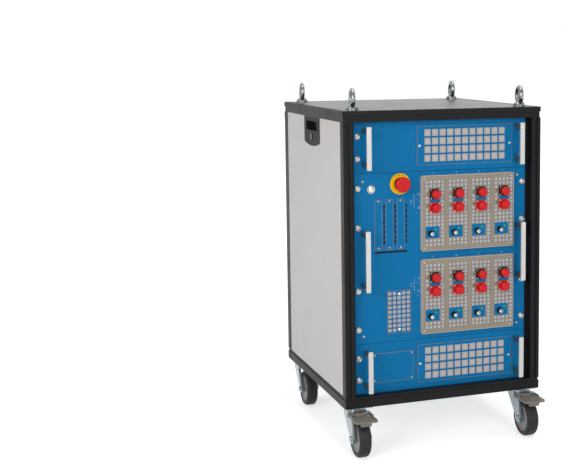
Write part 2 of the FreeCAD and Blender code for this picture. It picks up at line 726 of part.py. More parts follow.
grille_open_width = size.grille_column_step * (size.grille_columns - 1) + size.grille_hole
grille_open_height = size.grille_row_step * (size.grille_rows - 1) + size.grille_hole
upper_middle = upper_bottom + small_height / 2
lower_middle = panels_bottom + small_height / 2
plate_middles = [main_middle + size.plate_rise + size.plate_pitch / 2,
                 main_middle + size.plate_rise - size.plate_pitch / 2]
slot_middle = main_middle + size.slot_rise
estop_height = main_middle + size.estop_rise
button_height = main_middle + size.button_rise
small_grille_middle = main_middle - size.small_grille_drop


def make_panels():
    """The three blue rack panels with every opening behind what is mounted on them."""
    upper_rows, main_rows, lower_rows = screw_heights()
    margin = size.grille_margin * 2
    upper = blank_panel("upper_panel", upper_bottom, small_height, upper_rows)
    window(upper, size.grille_shift, upper_middle, grille_open_width + margin, grille_open_height + margin)
    keep("upper_panel", upper)
    lower = blank_panel("lower_panel", panels_bottom, small_height, lower_rows)
    window(lower, size.grille_shift, lower_middle, grille_open_width + margin, grille_open_height + margin)
    service_room = size.service_margin * 2
    window(lower, -size.service_side, lower_middle, size.service_width - service_room,
           size.service_height - service_room)
    keep("lower_panel", lower)
    main = blank_panel("main_panel", main_bottom, main_height, main_rows)
    plate_room = size.plate_margin * 2
    for middle in plate_middles:
        window(main, size.plate_shift, middle, size.plate_width - plate_room, size.plate_height - plate_room)
    small_width = size.small_column_step * (size.small_columns - 1) + size.small_hole_width
    small_height_open = size.small_row_step * (size.small_rows - 1) + size.small_hole_height
    window(main, -size.small_grille_side, small_grille_middle, small_width, small_height_open)
    slot = window(main, -size.slot_side, slot_middle, size.slot_opening, size.slot_opening_height)
    pattern(main, slot, ("X", False, size.slot_step, size.slot_count))
    dash_bottom = slot_middle - size.dash_step * (size.dash_count - 1) / 2
    dash = window(main, size.dash_offset - size.slot_side, dash_bottom, size.dash_width, size.dash_height)
    pattern(main, dash, ("X", False, size.slot_step, size.slot_count),
            ("Z", False, size.dash_step, size.dash_count))
    window(main, -size.long_slot_side, main_middle + size.long_slot_rise, size.long_slot_width,
           size.long_slot_height)
    for x, z, radius in (
        (-size.estop_side, estop_height, size.estop_stem_radius + size.fit_gap * 2),
        (-size.button_side, button_height, size.bezel_tail_radius + size.fit_gap),
    ):
        sketch = front_sketch(main, x, panel_back, z)
        circle(sketch, radius)
        pocket(main, sketch)
    keep("main_panel", main)


def make_rack_rails():
    """The angles behind the panels' ends, one each side, that the rack screws go into."""
    outer = half_width - size.rail_outer_gap
    start = -outer
    low_end = (start, panel_back, panels_bottom)
    flange = box("rail_flange", size.rail_flange, size.rail_sheet, panels_height, low_end)
    web = box("rail_web", size.rail_sheet, size.rail_return, panels_height, low_end)
    angle = fuse("rail_angle", [flange, web])
    reach = size.screw_length
    tools = []
    for rows in screw_heights():
        for row in rows:
            hole = cylinder(f"rail_hole_{len(tools)}", size.screw_shank_radius + size.fit_gap, reach,
                            (-size.hole_spacing / 2, panel_back - reach / 2, row), TO_BACK)
            tools.append(hole)
    left = cut("rail_left", angle, tools)
    group("rack_rails", [left, mirrored("rail_right", left)])


def make_rack_screws():
    """Pan-head screws in cup washers, sixteen of them."""
    cup = size.cup_height
    head = size.screw_head_height
    shank = size.screw_length
    screw = turned("rack_screw", [
        (0, 0), (size.screw_shank_radius, 0), (size.screw_shank_radius, shank),
        (size.cup_radius, shank), (size.screw_head_radius + size.fit_gap, shank + cup),
        (size.screw_head_radius, shank + cup), (size.screw_head_radius / 2, shank + head), (0, shank + head),
    ])
    screw.Placement = FreeCAD.Placement(Vector(0, 0, 0), TO_FRONT)
    y = panel_face + shank
    places = []
    for rows in screw_heights():
        for row in rows:
            for side in (-1, 1):
                places.append((size.hole_spacing * side / 2, y, row))
    copies("rack_screws", screw, places)


def make_cases():
    """The three electronics chassis, each closed and screwed to the back of its panel."""
    for name, bottom, height in (
        ("lower_case", panels_bottom, small_height),
        ("main_case", main_bottom, main_height),
        ("upper_case", upper_bottom, small_height),
    ):
        tall = height - size.case_gap * 2
        low = bottom + size.case_gap
        corner = (-size.case_width / 2, panel_back, low)
        block = box(f"{name}_block", size.case_width, size.case_depth, tall, corner)
        wall = size.case_wall
        mouth = box(f"{name}_mouth", size.case_width - wall * 2, size.case_pocket, tall - wall * 2,
                    (wall - size.case_width / 2, panel_back, low + wall))
        keep(name, cut(name, block, [mouth]))


def make_grilles():
    """The filter covers: square holes in rows, with a filter mat held behind each."""
    middles = [upper_middle, lower_middle]
    covers = []
    mats = []
    for index, middle in enumerate(middles):
        body = new_body(f"filter_cover_{index}")
        sketch = front_sketch(body, size.grille_shift, panel_face, middle)
        rounded_rectangle(sketch, size.grille_width, size.grille_height, size.slot_corner)
        pad(body, sketch, size.grille_thick)
        left = size.grille_shift - (grille_open_width - size.grille_hole) / 2
        low = middle - (grille_open_height - size.grille_hole) / 2
        sketch = front_sketch(body, left, panel_face, low)
        rectangle(sketch, size.grille_hole, size.grille_hole)
        hole = pocket(body, sketch)
        pattern(body, hole, ("X", False, size.grille_column_step, size.grille_columns),
                ("Z", False, size.grille_row_step, size.grille_rows))
        covers.append(body)
        width = grille_open_width + size.grille_margin * 2 - size.fit_gap
        height = grille_open_height + size.grille_margin * 2 - size.fit_gap
        mats.append(box(f"filter_mat_{index}", width, size.screen_thick, height,
                        (size.grille_shift - width / 2, panel_face, middle - height / 2)))
    group("filter_grilles", covers)
    body = new_body("small_grille")
    sketch = front_sketch(body, -size.small_grille_side, panel_face, small_grille_middle)
    rounded_rectangle(sketch, size.small_grille_width, size.small_grille_height, size.slot_corner)
    pad(body, sketch, size.grille_thick)
    reach_x = size.small_column_step * (size.small_columns - 1) / 2
    reach_z = size.small_row_step * (size.small_rows - 1) / 2
    sketch = front_sketch(body, -size.small_grille_side - reach_x, panel_face, small_grille_middle - reach_z)
    rectangle(sketch, size.small_hole_width, size.small_hole_height)
    hole = pocket(body, sketch)
    pattern(body, hole, ("X", False, size.small_column_step, size.small_columns),
            ("Z", False, size.small_row_step, size.small_rows))
    boss_low = small_grille_middle - size.small_screw_rise
    sketch = front_sketch(body, -size.small_grille_side, panel_face, boss_low)
    circle(sketch, size.small_boss_radius)
    boss = pad(body, sketch, size.grille_thick)
    pattern(body, boss, ("Z", False, size.small_screw_rise * 2, 2))
    keep("small_grille", body)
    width = reach_x * 2 + size.small_hole_width - size.fit_gap
    height = reach_z * 2 + size.small_hole_height - size.fit_gap
    mats.append(box("small_mat", width, size.screen_thick, height,
                    (-size.small_grille_side - width / 2, panel_face, small_grille_middle - height / 2)))
    group("filter_screens", mats)


def flat_plate(name, x, z, width, height, thick, corner):
    """A thin plate with round corners, screwed flat on the front of a panel."""
    body = new_body(name)
    sketch = front_sketch(body, x, panel_face, z)
    rounded_rectangle(sketch, width, height, corner)
    pad(body, sketch, thick)
    return body


def make_flat_covers():
    plates = []
    for index in range(SIZES["slot_count"]):
        x = size.slot_step * index - size.slot_side
        plates.append(flat_plate(f"slot_cover_{index}", x, slot_middle, size.slot_width, size.slot_height,
                                 size.slot_thick, size.slot_corner))
    group("slot_covers", plates)
    keep("service_cover", flat_plate("service_cover", -size.service_side, lower_middle, size.service_width,
                                     size.service_height, size.service_thick, size.service_corner))


plate_front = panel_face - size.plate_proud


def channel_middles():
    first = size.plate_shift + size.channel_shift - size.channel_pitch * (size.channel_count - 1) / 2
    return [first + size.channel_pitch * index for index in range(SIZES["channel_count"])]


def make_socket_plates():
    """Raised steel trays with a field of square air holes round the sockets of each channel."""
    columns = size.mesh_columns
    last = size.mesh_column_step * (size.mesh_columns - 1)
    reach = last / 2
    first_channel = channel_middles()[0]
    above = size.rows_above
    between_start = above + size.rows_beside_sockets
    window_start = between_start + size.rows_between
    below_start = window_start + size.rows_beside_window
    fields = [
        (0, 0, size.mesh_column_step, columns, above),
        (0, above, last, 2, size.rows_beside_sockets),
        (0, between_start, size.mesh_column_step, columns, size.rows_between),
        (last, window_start, None, 1, size.rows_beside_window),
        (0, below_start, size.mesh_column_step, columns, size.rows_below),
    ]
    body = new_body("socket_plate_upper")
    middle = plate_middles[0]
    sketch = front_sketch(body, size.plate_shift, panel_face, middle)
    rounded_rectangle(sketch, size.plate_width, size.plate_height, size.plate_corner)
    pad(body, sketch, size.plate_proud)
    sketch = front_sketch(body, size.plate_shift, panel_face, middle)
    wall = size.plate_wall * 2
    rectangle(sketch, size.plate_width - wall, size.plate_height - wall)
    pocket(body, sketch, size.plate_proud - size.plate_wall, forward=True)
    top_row = middle + size.mesh_row_step * (size.mesh_rows - 1) / 2
    hole = size.mesh_hole
    for shift, row, step, across, down in fields:
        left = first_channel - reach + shift - hole / 2
        low = top_row - size.mesh_row_step * row - hole / 2
        sketch = front_sketch(body, left, plate_front, low)
        for channel in range(SIZES["channel_count"]):
            start = size.channel_pitch * channel
            outline(sketch, [(start, 0), (start + hole, 0), (start + hole, hole), (start, hole)])
        squares = pocket(body, sketch, size.plate_wall * 2, both_ways=True)
        ways = [("Z", True, size.mesh_row_step, down)]
        if across != 1:
            ways.append(("X", False, step, across))
        pattern(body, squares, *ways)
    keep("socket_plate_upper", body)
    lower = group("socket_plate_lower", [body])
    place(lower, (0, 0, -size.plate_pitch))
    screens = []
    for index, middle in enumerate(plate_middles):
        width = size.plate_width - wall - size.fit_gap * 2
        height = size.plate_height - wall - size.fit_gap * 2
        screens.append(box(f"socket_screen_{index}", width, size.screen_thick, height,
                           (size.plate_shift - width / 2, plate_front + size.plate_wall, middle - height / 2)))
    group("socket_screens", screens)


def channel_places(shift, rise):
    """One place on the front of the socket plates for each of the channels."""
    places = []
    for middle in plate_middles:
        for x in channel_middles():
            places.append((x + shift, plate_front, middle + rise))
    return places


def make_sockets():
    """Square-based output sockets, black above and red below, with the red caps that cover them."""
    body = new_body("output_socket")
    sketch = front_sketch(body, 0, 0, 0)
    rounded_rectangle(sketch, size.socket_width, size.socket_height, size.socket_corner)
    pad(body, sketch, size.socket_base)
    sketch = front_sketch(body, 0, 0, 0)
    circle(sketch, size.socket_collar)
    pad(body, sketch, size.socket_reach)
    sketch = front_sketch(body, 0, -size.socket_reach, 0)
    circle(sketch, size.socket_bore)
    pocket(body, sketch, size.socket_reach - size.socket_base)
    upper = size.socket_rise
    lower = size.socket_rise - size.socket_drop
    copies("black_sockets", body, channel_places(0, upper))
    copies("red_sockets", body, channel_places(0, lower))
    inner = size.socket_collar + size.cap_gap
    outer = size.cap_radius
    length = size.cap_length
    cap = turned("socket_cap", [
        (inner, 0), (outer, 0), (outer, length - size.cap_round),
        (outer - size.cap_round, length), (0, length),
        (0, length - size.cap_top), (inner, length - size.cap_top),
    ])
    cap.Placement = FreeCAD.Placement(Vector(0, 0, 0), TO_FRONT)
    start = -(size.socket_base + size.cap_stand)
    places = [(x, y + start, z) for rise in (upper, lower) for x, y, z in channel_places(0, rise)]
    copies("socket_caps", cap, places)


def make_channel_plates():
    """The blue strips between the sockets and the blue plates that carry the signal connectors."""
    strip = new_body("channel_strip")
    sketch = front_sketch(strip, 0, 0, 0)
    rectangle(sketch, size.socket_width, size.strip_height)
    pad(strip, sketch, size.badge_thick)
    badge = new_body("channel_badge")
    sketch = front_sketch(badge, 0, 0, 0)
    rounded_rectangle(sketch, size.window_width, size.window_height, size.badge_corner)
    pad(badge, sketch, size.badge_thick)
    doc.recompute()
    pieces = []
    for source, places in ((strip, channel_places(0, size.strip_rise)),
                           (badge, channel_places(-size.window_left, -size.window_drop))):
        for x, y, z in places:
            shape = source.Shape.copy()
            shape.translate(Vector(x.value, y.value, z.value))
            pieces.append(shape)
    item = doc.addObject("Part::Feature", "channel_plates")
    item.Shape = Part.makeCompound(pieces)
    keep("channel_plates", item)


def make_signal_parts():
    """A bayonet signal connector and a green lamp for each channel."""
    thick = size.bnc_flange_thick
    reach = size.bnc_reach
    depth = reach - size.bnc_depth
    connector = turned("bnc_connector", [
        (0, 0), (size.bnc_flange, 0), (size.bnc_flange, thick), (size.bnc_barrel, thick),
        (size.bnc_barrel, reach), (size.bnc_bore, reach), (size.bnc_bore, depth),
        (size.bnc_pin, depth), (size.bnc_pin, reach - thick), (0, reach - thick),
    ])
    connector.Placement = FreeCAD.Placement(Vector(0, 0, 0), TO_FRONT)
    lift = -size.badge_thick
    copies("bnc_connectors", connector,
           [(x, y + lift, z) for x, y, z in channel_places(-size.bnc_left, -size.bnc_drop)])
    round_edge = size.lamp_round
    lamp = turned("channel_lamp", [
        (0, 0), (size.lamp_radius, 0), (size.lamp_radius, size.lamp_height - round_edge),
        (size.lamp_radius - round_edge, size.lamp_height), (0, size.lamp_height),
    ])
    lamp.Placement = FreeCAD.Placement(Vector(0, 0, 0), TO_FRONT)
    copies("channel_lamps", lamp,
           [(x, y + lift, z) for x, y, z in channel_places(size.lamp_right, -size.lamp_drop)])


def handle_places():
    """Middle height, side offset and bar length of the six handles."""
    rows = [
        (upper_middle, size.handle_side, size.bar_small),
        (main_middle, size.main_handle_side, size.bar_main),
        (lower_middle, size.handle_side, size.bar_small),
    ]
    return [(z, side * sign, length) for z, side, length in rows for sign in (-1, 1)]


def make_handles():
    """Flat bars on two square posts each."""
    bars = []
    posts = []
    bar_back = panel_face - size.bar_proud
    for index, (z, x, length) in enumerate(handle_places()):
        body = new_body(f"handle_bar_{index}")
        sketch = front_sketch(body, x, bar_back, z)
        rounded_rectangle(sketch, size.bar_width, length, size.bar_corner)
        pad(body, sketch, size.bar_thick)
        bars.append(body)
        body = new_body(f"handle_post_{index}")
        offset = length / 2 - size.post_inset - size.post_height / 2
        sketch = front_sketch(body, x, panel_face, z - offset)
        rounded_rectangle(sketch, size.post_width, size.post_height, size.post_corner)
        pad(body, sketch, size.bar_proud)
        posts.append(body)
        twin = new_body(f"handle_post_{index}_top")
        sketch = front_sketch(twin, x, panel_face, z + offset)
        rounded_rectangle(sketch, size.post_width, size.post_height, size.post_corner)
        pad(twin, sketch, size.bar_proud)
        posts.append(twin)
    group("handle_bars", bars)
    group("handle_posts", posts)


def make_estop():
    """The emergency stop: yellow ring, black collar, sliding stem and a mushroom head that twists."""
    at = (-size.estop_side, panel_face, estop_height)
    collar = size.estop_collar_radius
    ring = turned("estop_ring", [
        (collar + size.clear_gap, 0), (size.estop_ring_radius, 0),
        (size.estop_ring_radius, size.estop_ring_thick), (collar + size.clear_gap, size.estop_ring_thick),
    ])
    keep("estop_ring", place(ring, at, TO_FRONT))
    bore = size.estop_stem_radius + size.running_gap
    sleeve = turned("estop_collar", [
        (bore, 0), (collar, 0), (collar, size.estop_collar_height - size.collar_chamfer),
        (collar - size.collar_chamfer, size.estop_collar_height), (bore, size.estop_collar_height),
    ])
    keep("estop_collar", place(sleeve, at, TO_FRONT))
    stem_radius = size.estop_stem_radius
    spigot = size.estop_spigot_radius
    shoulder = size.estop_head_start + size.estop_collar_tail
    stem = turned("estop_stem", [
        (0, 0), (stem_radius, 0), (stem_radius, shoulder), (spigot, shoulder),
        (spigot, shoulder + size.estop_spigot), (0, shoulder + size.estop_spigot),
    ])
    keep("estop_stem", place(stem, (at[0], at[1] + size.estop_collar_tail, at[2]), TO_FRONT))
    wide = size.estop_head_radius
    thick = size.estop_head_thick
    lift = size.clear_gap
    round_edge = size.estop_round
    hole = spigot + size.running_gap
    head = turned("estop_head", [
        (hole, lift), (wide - round_edge, lift), (wide, lift + round_edge), (wide, thick - round_edge),
        (wide - round_edge, thick, round_edge), (0, thick),
        (0, size.estop_spigot + lift), (hole, size.estop_spigot + lift),
    ])
    keep("estop_head", place(head, (at[0], at[1] - size.estop_head_start, at[2]), TO_FRONT))


def make_button():
    """The round metal power button: a bezel through the panel, and the sprung plunger in it."""
    at = (-size.button_side, panel_face, button_height)
    bore = size.plunger_radius + size.running_gap
    tail = size.bezel_tail
    bezel = turned("button_bezel", [
        (bore, 0), (size.bezel_tail_radius, 0), (size.bezel_tail_radius, tail), (size.bezel_radius, tail),
        (size.bezel_radius, tail + size.bezel_height), (bore, tail + size.bezel_height),
    ])
    keep("button_bezel", place(bezel, (at[0], at[1] + tail, at[2]), TO_FRONT))
    radius = size.plunger_radius
    dome = size.plunger_dome
    bend = (radius * radius + dome * dome) / (dome * 2)
    length = tail + size.plunger_proud - size.bezel_height
    plunger = turned("button_plunger", [(0, 0), (radius, 0), (radius, length), (0, length + dome, bend)])
    start = size.bezel_height
    keep("button_plunger", place(plunger, (at[0], at[1] + tail - start, at[2]), TO_FRONT))


def make_eyes():
    """Lifting eye bolts on washers at the corners of the top."""
    seat = size.eye_washer_thick
    washer = turned("eye_washer", [
        (size.eye_shank_radius + size.eye_shank_gap, 0), (size.eye_washer_radius, 0),
        (size.eye_washer_radius, seat), (size.eye_shank_radius + size.eye_shank_gap, seat),
    ])
    ring_radius = size.eye_outer - size.eye_wire / 2
    ring_height = size.eye_height - size.eye_outer
    shank = turned("eye_shank", [
        (0, 0), (size.eye_shank_radius, 0), (size.eye_shank_radius, size.eye_shank_length),
        (size.eye_collar_radius, size.eye_shank_length),
        (size.eye_collar_radius, size.eye_shank_length + size.eye_collar_height / 2),
        (size.eye_neck_radius, size.eye_shank_length + size.eye_collar_height),
        (0, size.eye_shank_length + size.eye_collar_height),
    ])
    place(shank, (0, 0, -size.eye_shank_length))
    ring = doc.addObject("Part::Torus", "eye_ring")
    bind(ring, "Radius1", ring_radius)
    bind(ring, "Radius2", size.eye_wire / 2)
    place(ring, (0, 0, ring_height), TO_RIGHT)
    eye = fuse("eye_bolt", [shank, ring])
    eye.Placement = FreeCAD.Placement(Vector(0, 0, 0), FreeCAD.Rotation(Vector(0, 0, 1), -size.eye_turn.value))
    side = half_width - size.eye_side_inset
    near = front + size.eye_end_inset
    far = back - size.eye_end_inset
    spots = [(x, y, top) for y in (near, far) for x in (-side, side)]
    copies("eye_washers", washer, spots)
    copies("eye_bolts", eye, [(x, y, z + seat) for x, y, z in spots])


swivel_side = half_width - size.swivel_side_inset
swivel_front = front + size.swivel_inset
swivel_back = back - size.swivel_inset
CORNERS = {
    "front_left": (-swivel_side, swivel_front), "front_right": (swivel_side, swivel_front),
    "rear_left": (-swivel_side, swivel_back), "rear_right": (swivel_side, swivel_back),
}
fork_top = base - size.caster_plate_thick - size.race_height - size.swivel_gap
wheel_axle = size.wheel_radius
pedal_pivot_height = fork_top - size.pedal_pivot_drop
fork_inner = size.fork_outer - size.fork_wall * 2


def make_caster_plates():
    """Top plates with the swivel race and the riveted kingpin, fixed under the bottom frame."""
    race_low = base - size.caster_plate_thick - size.race_height
    pieces = []
    for corner, (x, y) in CORNERS.items():
        body = new_body(f"caster_plate_{corner}")
        sketch = floor_sketch(body, x, y, base - size.caster_plate_thick)
        rounded_rectangle(sketch, size.caster_plate, size.caster_plate, size.caster_plate_corner)
        pad(body, sketch, size.caster_plate_thick)
        web_low = fork_top - size.fork_web
        rivet_top = web_low - size.clear_gap
        for radius, low, height in (
            (size.race_radius, race_low, size.race_height + size.caster_plate_thick),
            (size.kingpin_radius, rivet_top, race_low - rivet_top),
            (size.rivet_radius, rivet_top - size.rivet_height, size.rivet_height),
        ):
            sketch = floor_sketch(body, x, y, low)
            circle(sketch, radius)
            pad(body, sketch, height)
        pieces.append(body)
    group("caster_plates", pieces)


def leg_outline(ear, low_edge, inset):
    """The fork's side: a crown, slanting legs and a round end about the axle, drawn in by the inset."""
    rear = size.fork_rear - inset
    reach = size.fork_boss - inset
    crown_edge = fork_top - size.rivet_radius
    return [
        (rear, low_edge), (inset - ear, low_edge), (inset - ear, crown_edge),
        (-size.trail - reach, wheel_axle), (-size.trail, wheel_axle - reach, reach),
        (reach - size.trail, wheel_axle, reach), (rear, crown_edge),
    ]


def make_fork(corner, x, y, braked):
    """A pressed fork: a crown, two hollow legs with turned-in edges, and the wheel's axle."""
    body = new_body(f"fork_{corner}_pressing")
    ear = size.fork_ear if braked else size.fork_rear
    trail = size.trail
    crown_low = fork_top - size.fork_web
    sketch = side_sketch(body, x, y, 0)
    outline(sketch, leg_outline(ear, fork_top, term(0)))
    pad(body, sketch, size.fork_outer, both_ways=True)
    sketch = floor_sketch(body, x, y, crown_low)
    circle(sketch, size.fork_crown_radius)
    pad(body, sketch, size.fork_web)
    reach = fork_top * 2
    sketch = side_sketch(body, x, y, crown_low - reach / 2)
    rectangle(sketch, reach, reach)
    pocket(body, sketch, size.fork_throat, both_ways=True)
    sketch = side_sketch(body, x, y, 0)
    outline(sketch, leg_outline(ear, crown_low, size.fork_wall))
    pocket(body, sketch, fork_inner, both_ways=True)
    if braked:
        gap_start = size.pedal_pivot - size.knuckle_radius - size.fork_web
        length = size.fork_ear - gap_start
        sketch = side_sketch(body, x, y - gap_start - length / 2, fork_top)
        rectangle(sketch, length, size.fork_web * 2)
        pocket(body, sketch, size.fork_throat, both_ways=True)
    sketch = floor_sketch(body, x, y, fork_top)
    circle(sketch, size.kingpin_radius + size.running_gap)
    pocket(body, sketch, size.fork_web * 2, both_ways=True)
    sketch = side_sketch(body, x, y - trail, wheel_axle)
    circle(sketch, size.axle_radius)
    pocket(body, sketch)
    pieces = [body]
    outer = size.fork_outer / 2
    head = size.axle_head
    axle = turned(f"axle_{corner}", [
        (0, 0), (size.axle_head_radius, 0), (size.axle_head_radius, head), (size.axle_radius, head),
        (size.axle_radius, head + outer * 2), (size.axle_head_radius, head + outer * 2),
        (size.axle_head_radius, head * 2 + outer * 2), (0, head * 2 + outer * 2),
    ])
    pieces.append(place(axle, (x - outer - head, y - trail, wheel_axle), TO_RIGHT))
    if braked:
        sketch = side_sketch(body, x, y - size.pedal_pivot, pedal_pivot_height)
        circle(sketch, size.pedal_pin_radius)
        pocket(body, sketch)
        pieces.append(cylinder(f"pedal_pin_{corner}", size.pedal_pin_radius, size.fork_outer,
                               (x - outer, y - size.pedal_pivot, pedal_pivot_height), TO_RIGHT))
    group(f"fork_{corner}", pieces)


def make_wheel(corner, x, y):
    """A grey hub turned with a web and rim, and the dark tyre moulded round it."""
    half_boss = fork_inner / 2 - size.clear_gap
    half_rim = size.hub_width / 2
    half_web = size.hub_web / 2
    bore = size.axle_radius + size.running_gap
    rim = size.hub_radius - size.hub_rim
    middle = half_boss
    hub = turned(f"wheel_hub_{corner}", [
        (bore, 0), (size.hub_boss, 0), (size.hub_boss, middle - half_web), (rim, middle - half_web),
        (rim, middle - half_rim), (size.hub_radius, middle - half_rim), (size.hub_radius, middle + half_rim),
        (rim, middle + half_rim), (rim, middle + half_web), (size.hub_boss, middle + half_web),
        (size.hub_boss, middle * 2), (bore, middle * 2),
    ])
    keep(f"wheel_hub_{corner}", place(hub, (x - half_boss, y - size.trail, wheel_axle), TO_RIGHT))
    half_tyre = size.wheel_width / 2
    half_tread = size.tread_width / 2
    shoulder = size.wheel_radius - size.tyre_shoulder
    drop = half_tyre - half_tread
    slope = size.tyre_shoulder
    bend = (slope * slope + drop * drop) / (slope * 2)
    tyre = turned(f"tyre_{corner}", [
        (size.hub_radius, half_tyre - half_rim), (shoulder, 0),
        (size.wheel_radius, half_tyre - half_tread, bend), (size.wheel_radius, half_tyre + half_tread),
        (shoulder, size.wheel_width, bend), (size.hub_radius, half_tyre + half_rim),
    ])
    keep(f"tyre_{corner}", place(tyre, (x - half_tyre, y - size.trail, wheel_axle), TO_RIGHT))


def make_pedal(corner, x, y):
    """The moulded brake pedal: a ribbed paddle and tab, with a neck and two arms round the fork."""
    body = new_body(f"brake_pedal_{corner}")
    neck = size.pedal_neck / 2
    wide = size.pedal_width / 2
    corner_radius = size.pedal_corner
    low = pedal_pivot_height - size.knuckle_radius + size.pedal_lift
    sketch = floor_sketch(body, x, y, low)
    pivot = -size.pedal_pivot
    tip = -size.pedal_reach
    outline(sketch, [
        (neck, pivot), (-neck, pivot), (-neck, -size.pedal_shoulder + neck / 2), (-wide, -size.pedal_shoulder),
        (-wide, tip + corner_radius), (corner_radius - wide, tip, corner_radius),
        (wide - corner_radius, tip), (wide, tip + corner_radius, corner_radius),
        (wide, -size.pedal_shoulder), (neck, -size.pedal_shoulder + neck / 2),
    ])
    pad(body, sketch, size.pedal_thick)
    sketch = side_sketch(body, x, y - size.pedal_pivot, pedal_pivot_height)
    circle(sketch, size.knuckle_radius)
    pad(body, sketch, size.pedal_neck, both_ways=True)
    arm_side = size.fork_outer / 2 + size.arm_gap + size.arm_width / 2
    for side in (-1, 1):
        sketch = floor_sketch(body, x + arm_side * side, y - size.pedal_shoulder + size.arm_length / 2, low)
        rectangle(sketch, size.arm_width, size.arm_length + size.pedal_corner)
        pad(body, sketch, size.arm_height)
    sketch = side_sketch(body, x, y, low)
    outline(sketch, [
        (-size.tab_start, 0), (-size.tab_end, 0), (size.tab_taper - size.tab_end, -size.tab_drop),
        (-size.tab_taper - size.tab_start, -size.tab_drop),
    ])
    pad(body, sketch, size.tab_width, both_ways=True)
    sketch = floor_sketch(body, x, y - size.pedal_reach + corner_radius, low + size.pedal_thick)
    rectangle(sketch, size.pedal_rib_length, size.pedal_rib_width)
    rib = pad(body, sketch, size.pedal_rib_height)
    pattern(body, rib, ("Y", False, size.pedal_rib_step, size.pedal_ribs))
    sketch = floor_sketch(body, x, y - size.pedal_shoulder - size.pedal_hole_inset, low)
    circle(sketch, size.pedal_hole)
    pocket(body, sketch)
    sketch = side_sketch(body, x, y - size.pedal_pivot, pedal_pivot_height)
    circle(sketch, size.pedal_pin_radius + size.running_gap)
    pocket(body, sketch)
    keep(f"brake_pedal_{corner}", body)


def make_casters():
    make_caster_plates()
    for corner, (x, y) in CORNERS.items():
        braked = corner.startswith("front")
        make_fork(corner, x, y, braked)
        make_wheel(corner, x, y)
        if braked:
            make_pedal(corner, x, y)


def check_document():
    """Every feature computed, every cut took something away, every sub-part a valid solid."""
    faults = []
    for item in doc.Objects:
        if "Invalid" in item.State or "Error" in item.State:
            faults.append(f"{item.Name} did not compute")
        elif item.TypeId == "PartDesign::Pocket" and item.Shape.Volume > item.BaseFeature.Shape.Volume - 1e-3:
            faults.append(f"{item.Name} cuts nothing")
    for name, item in nodes.items():
        if item.Shape.isNull() or not item.Shape.isValid() or not item.Shape.Solids:
            faults.append(f"{name} has no valid solid")
    if faults:
        raise RuntimeError("; ".join(faults))


def main():
    make_frames()
    make_covers()
    make_uprights()
    make_side_panels()
    make_pulls()
    make_locks()
    make_rear_panel()
    make_inlet()
    make_panels()
    make_rack_rails()
    make_rack_screws()
    make_cases()
    make_grilles()
    make_flat_covers()
    make_socket_plates()
    make_sockets()
    make_channel_plates()
    make_signal_parts()
    make_handles()
    make_estop()
    make_button()
    make_eyes()
    make_casters()
    doc.recompute()
    check_document()
    for name, item in nodes.items():
        item.Shape.exportStep(os.path.join("parts", f"{name}.step"))
    print(f"{len(nodes)} sub-parts written")


main()
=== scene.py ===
# %% [markdown]
# A battery cycler is a rack cabinet that charges and discharges batteries for tests. This one
# has three blue front panels, eight pairs of capped power sockets, filter grilles, handles, an
# emergency stop, lifting eyes and four swivel casters. The CAD frame holds every shape that
# moves, fastens or carries load. This file gives each of its pieces a finish, adds the small
# fasteners, marks and trim that CAD leaves out, and sets up the camera and lights.

# %% Load the frame
import json
import math

import bmesh
import bpy
import numpy as np
from mathutils import Matrix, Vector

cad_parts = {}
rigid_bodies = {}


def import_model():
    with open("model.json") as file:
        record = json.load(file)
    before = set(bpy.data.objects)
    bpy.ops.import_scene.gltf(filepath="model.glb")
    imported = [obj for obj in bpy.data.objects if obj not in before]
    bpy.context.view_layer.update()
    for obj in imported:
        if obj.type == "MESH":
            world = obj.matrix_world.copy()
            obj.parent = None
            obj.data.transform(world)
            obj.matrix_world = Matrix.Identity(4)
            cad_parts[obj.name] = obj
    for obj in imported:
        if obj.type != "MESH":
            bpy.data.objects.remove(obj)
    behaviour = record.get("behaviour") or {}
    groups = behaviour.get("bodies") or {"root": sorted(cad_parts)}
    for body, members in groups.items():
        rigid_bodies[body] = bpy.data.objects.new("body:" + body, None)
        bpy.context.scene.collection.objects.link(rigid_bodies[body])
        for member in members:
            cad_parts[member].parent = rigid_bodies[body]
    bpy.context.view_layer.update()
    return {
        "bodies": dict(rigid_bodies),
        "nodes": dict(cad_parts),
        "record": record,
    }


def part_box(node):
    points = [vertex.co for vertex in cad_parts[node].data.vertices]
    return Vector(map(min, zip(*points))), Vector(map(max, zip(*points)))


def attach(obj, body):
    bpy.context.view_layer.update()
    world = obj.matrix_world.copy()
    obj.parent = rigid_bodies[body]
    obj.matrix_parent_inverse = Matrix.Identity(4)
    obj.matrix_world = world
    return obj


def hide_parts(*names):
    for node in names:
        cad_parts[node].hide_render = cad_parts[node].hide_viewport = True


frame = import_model()
nodes = frame["nodes"]
MM = 0.001
print("CAD pieces:", len(nodes))

# %% [markdown]
# Many small places are wanted below: where a panel's face lies, where each channel stands, how
# high a screw sits. They could be typed in as numbers, but then a piece would float as soon as
# the cabinet changed. Reading them from the CAD pieces' own boxes keeps everything seated.

# %% Planes and places read from the frame
panel_low, panel_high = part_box("main_panel")
face = panel_low.y
main_middle = (panel_low.z + panel_high.z) / 2
plate_boxes = [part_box("socket_plate_upper"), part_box("socket_plate_lower")]
plate_face = plate_boxes[0][0].y


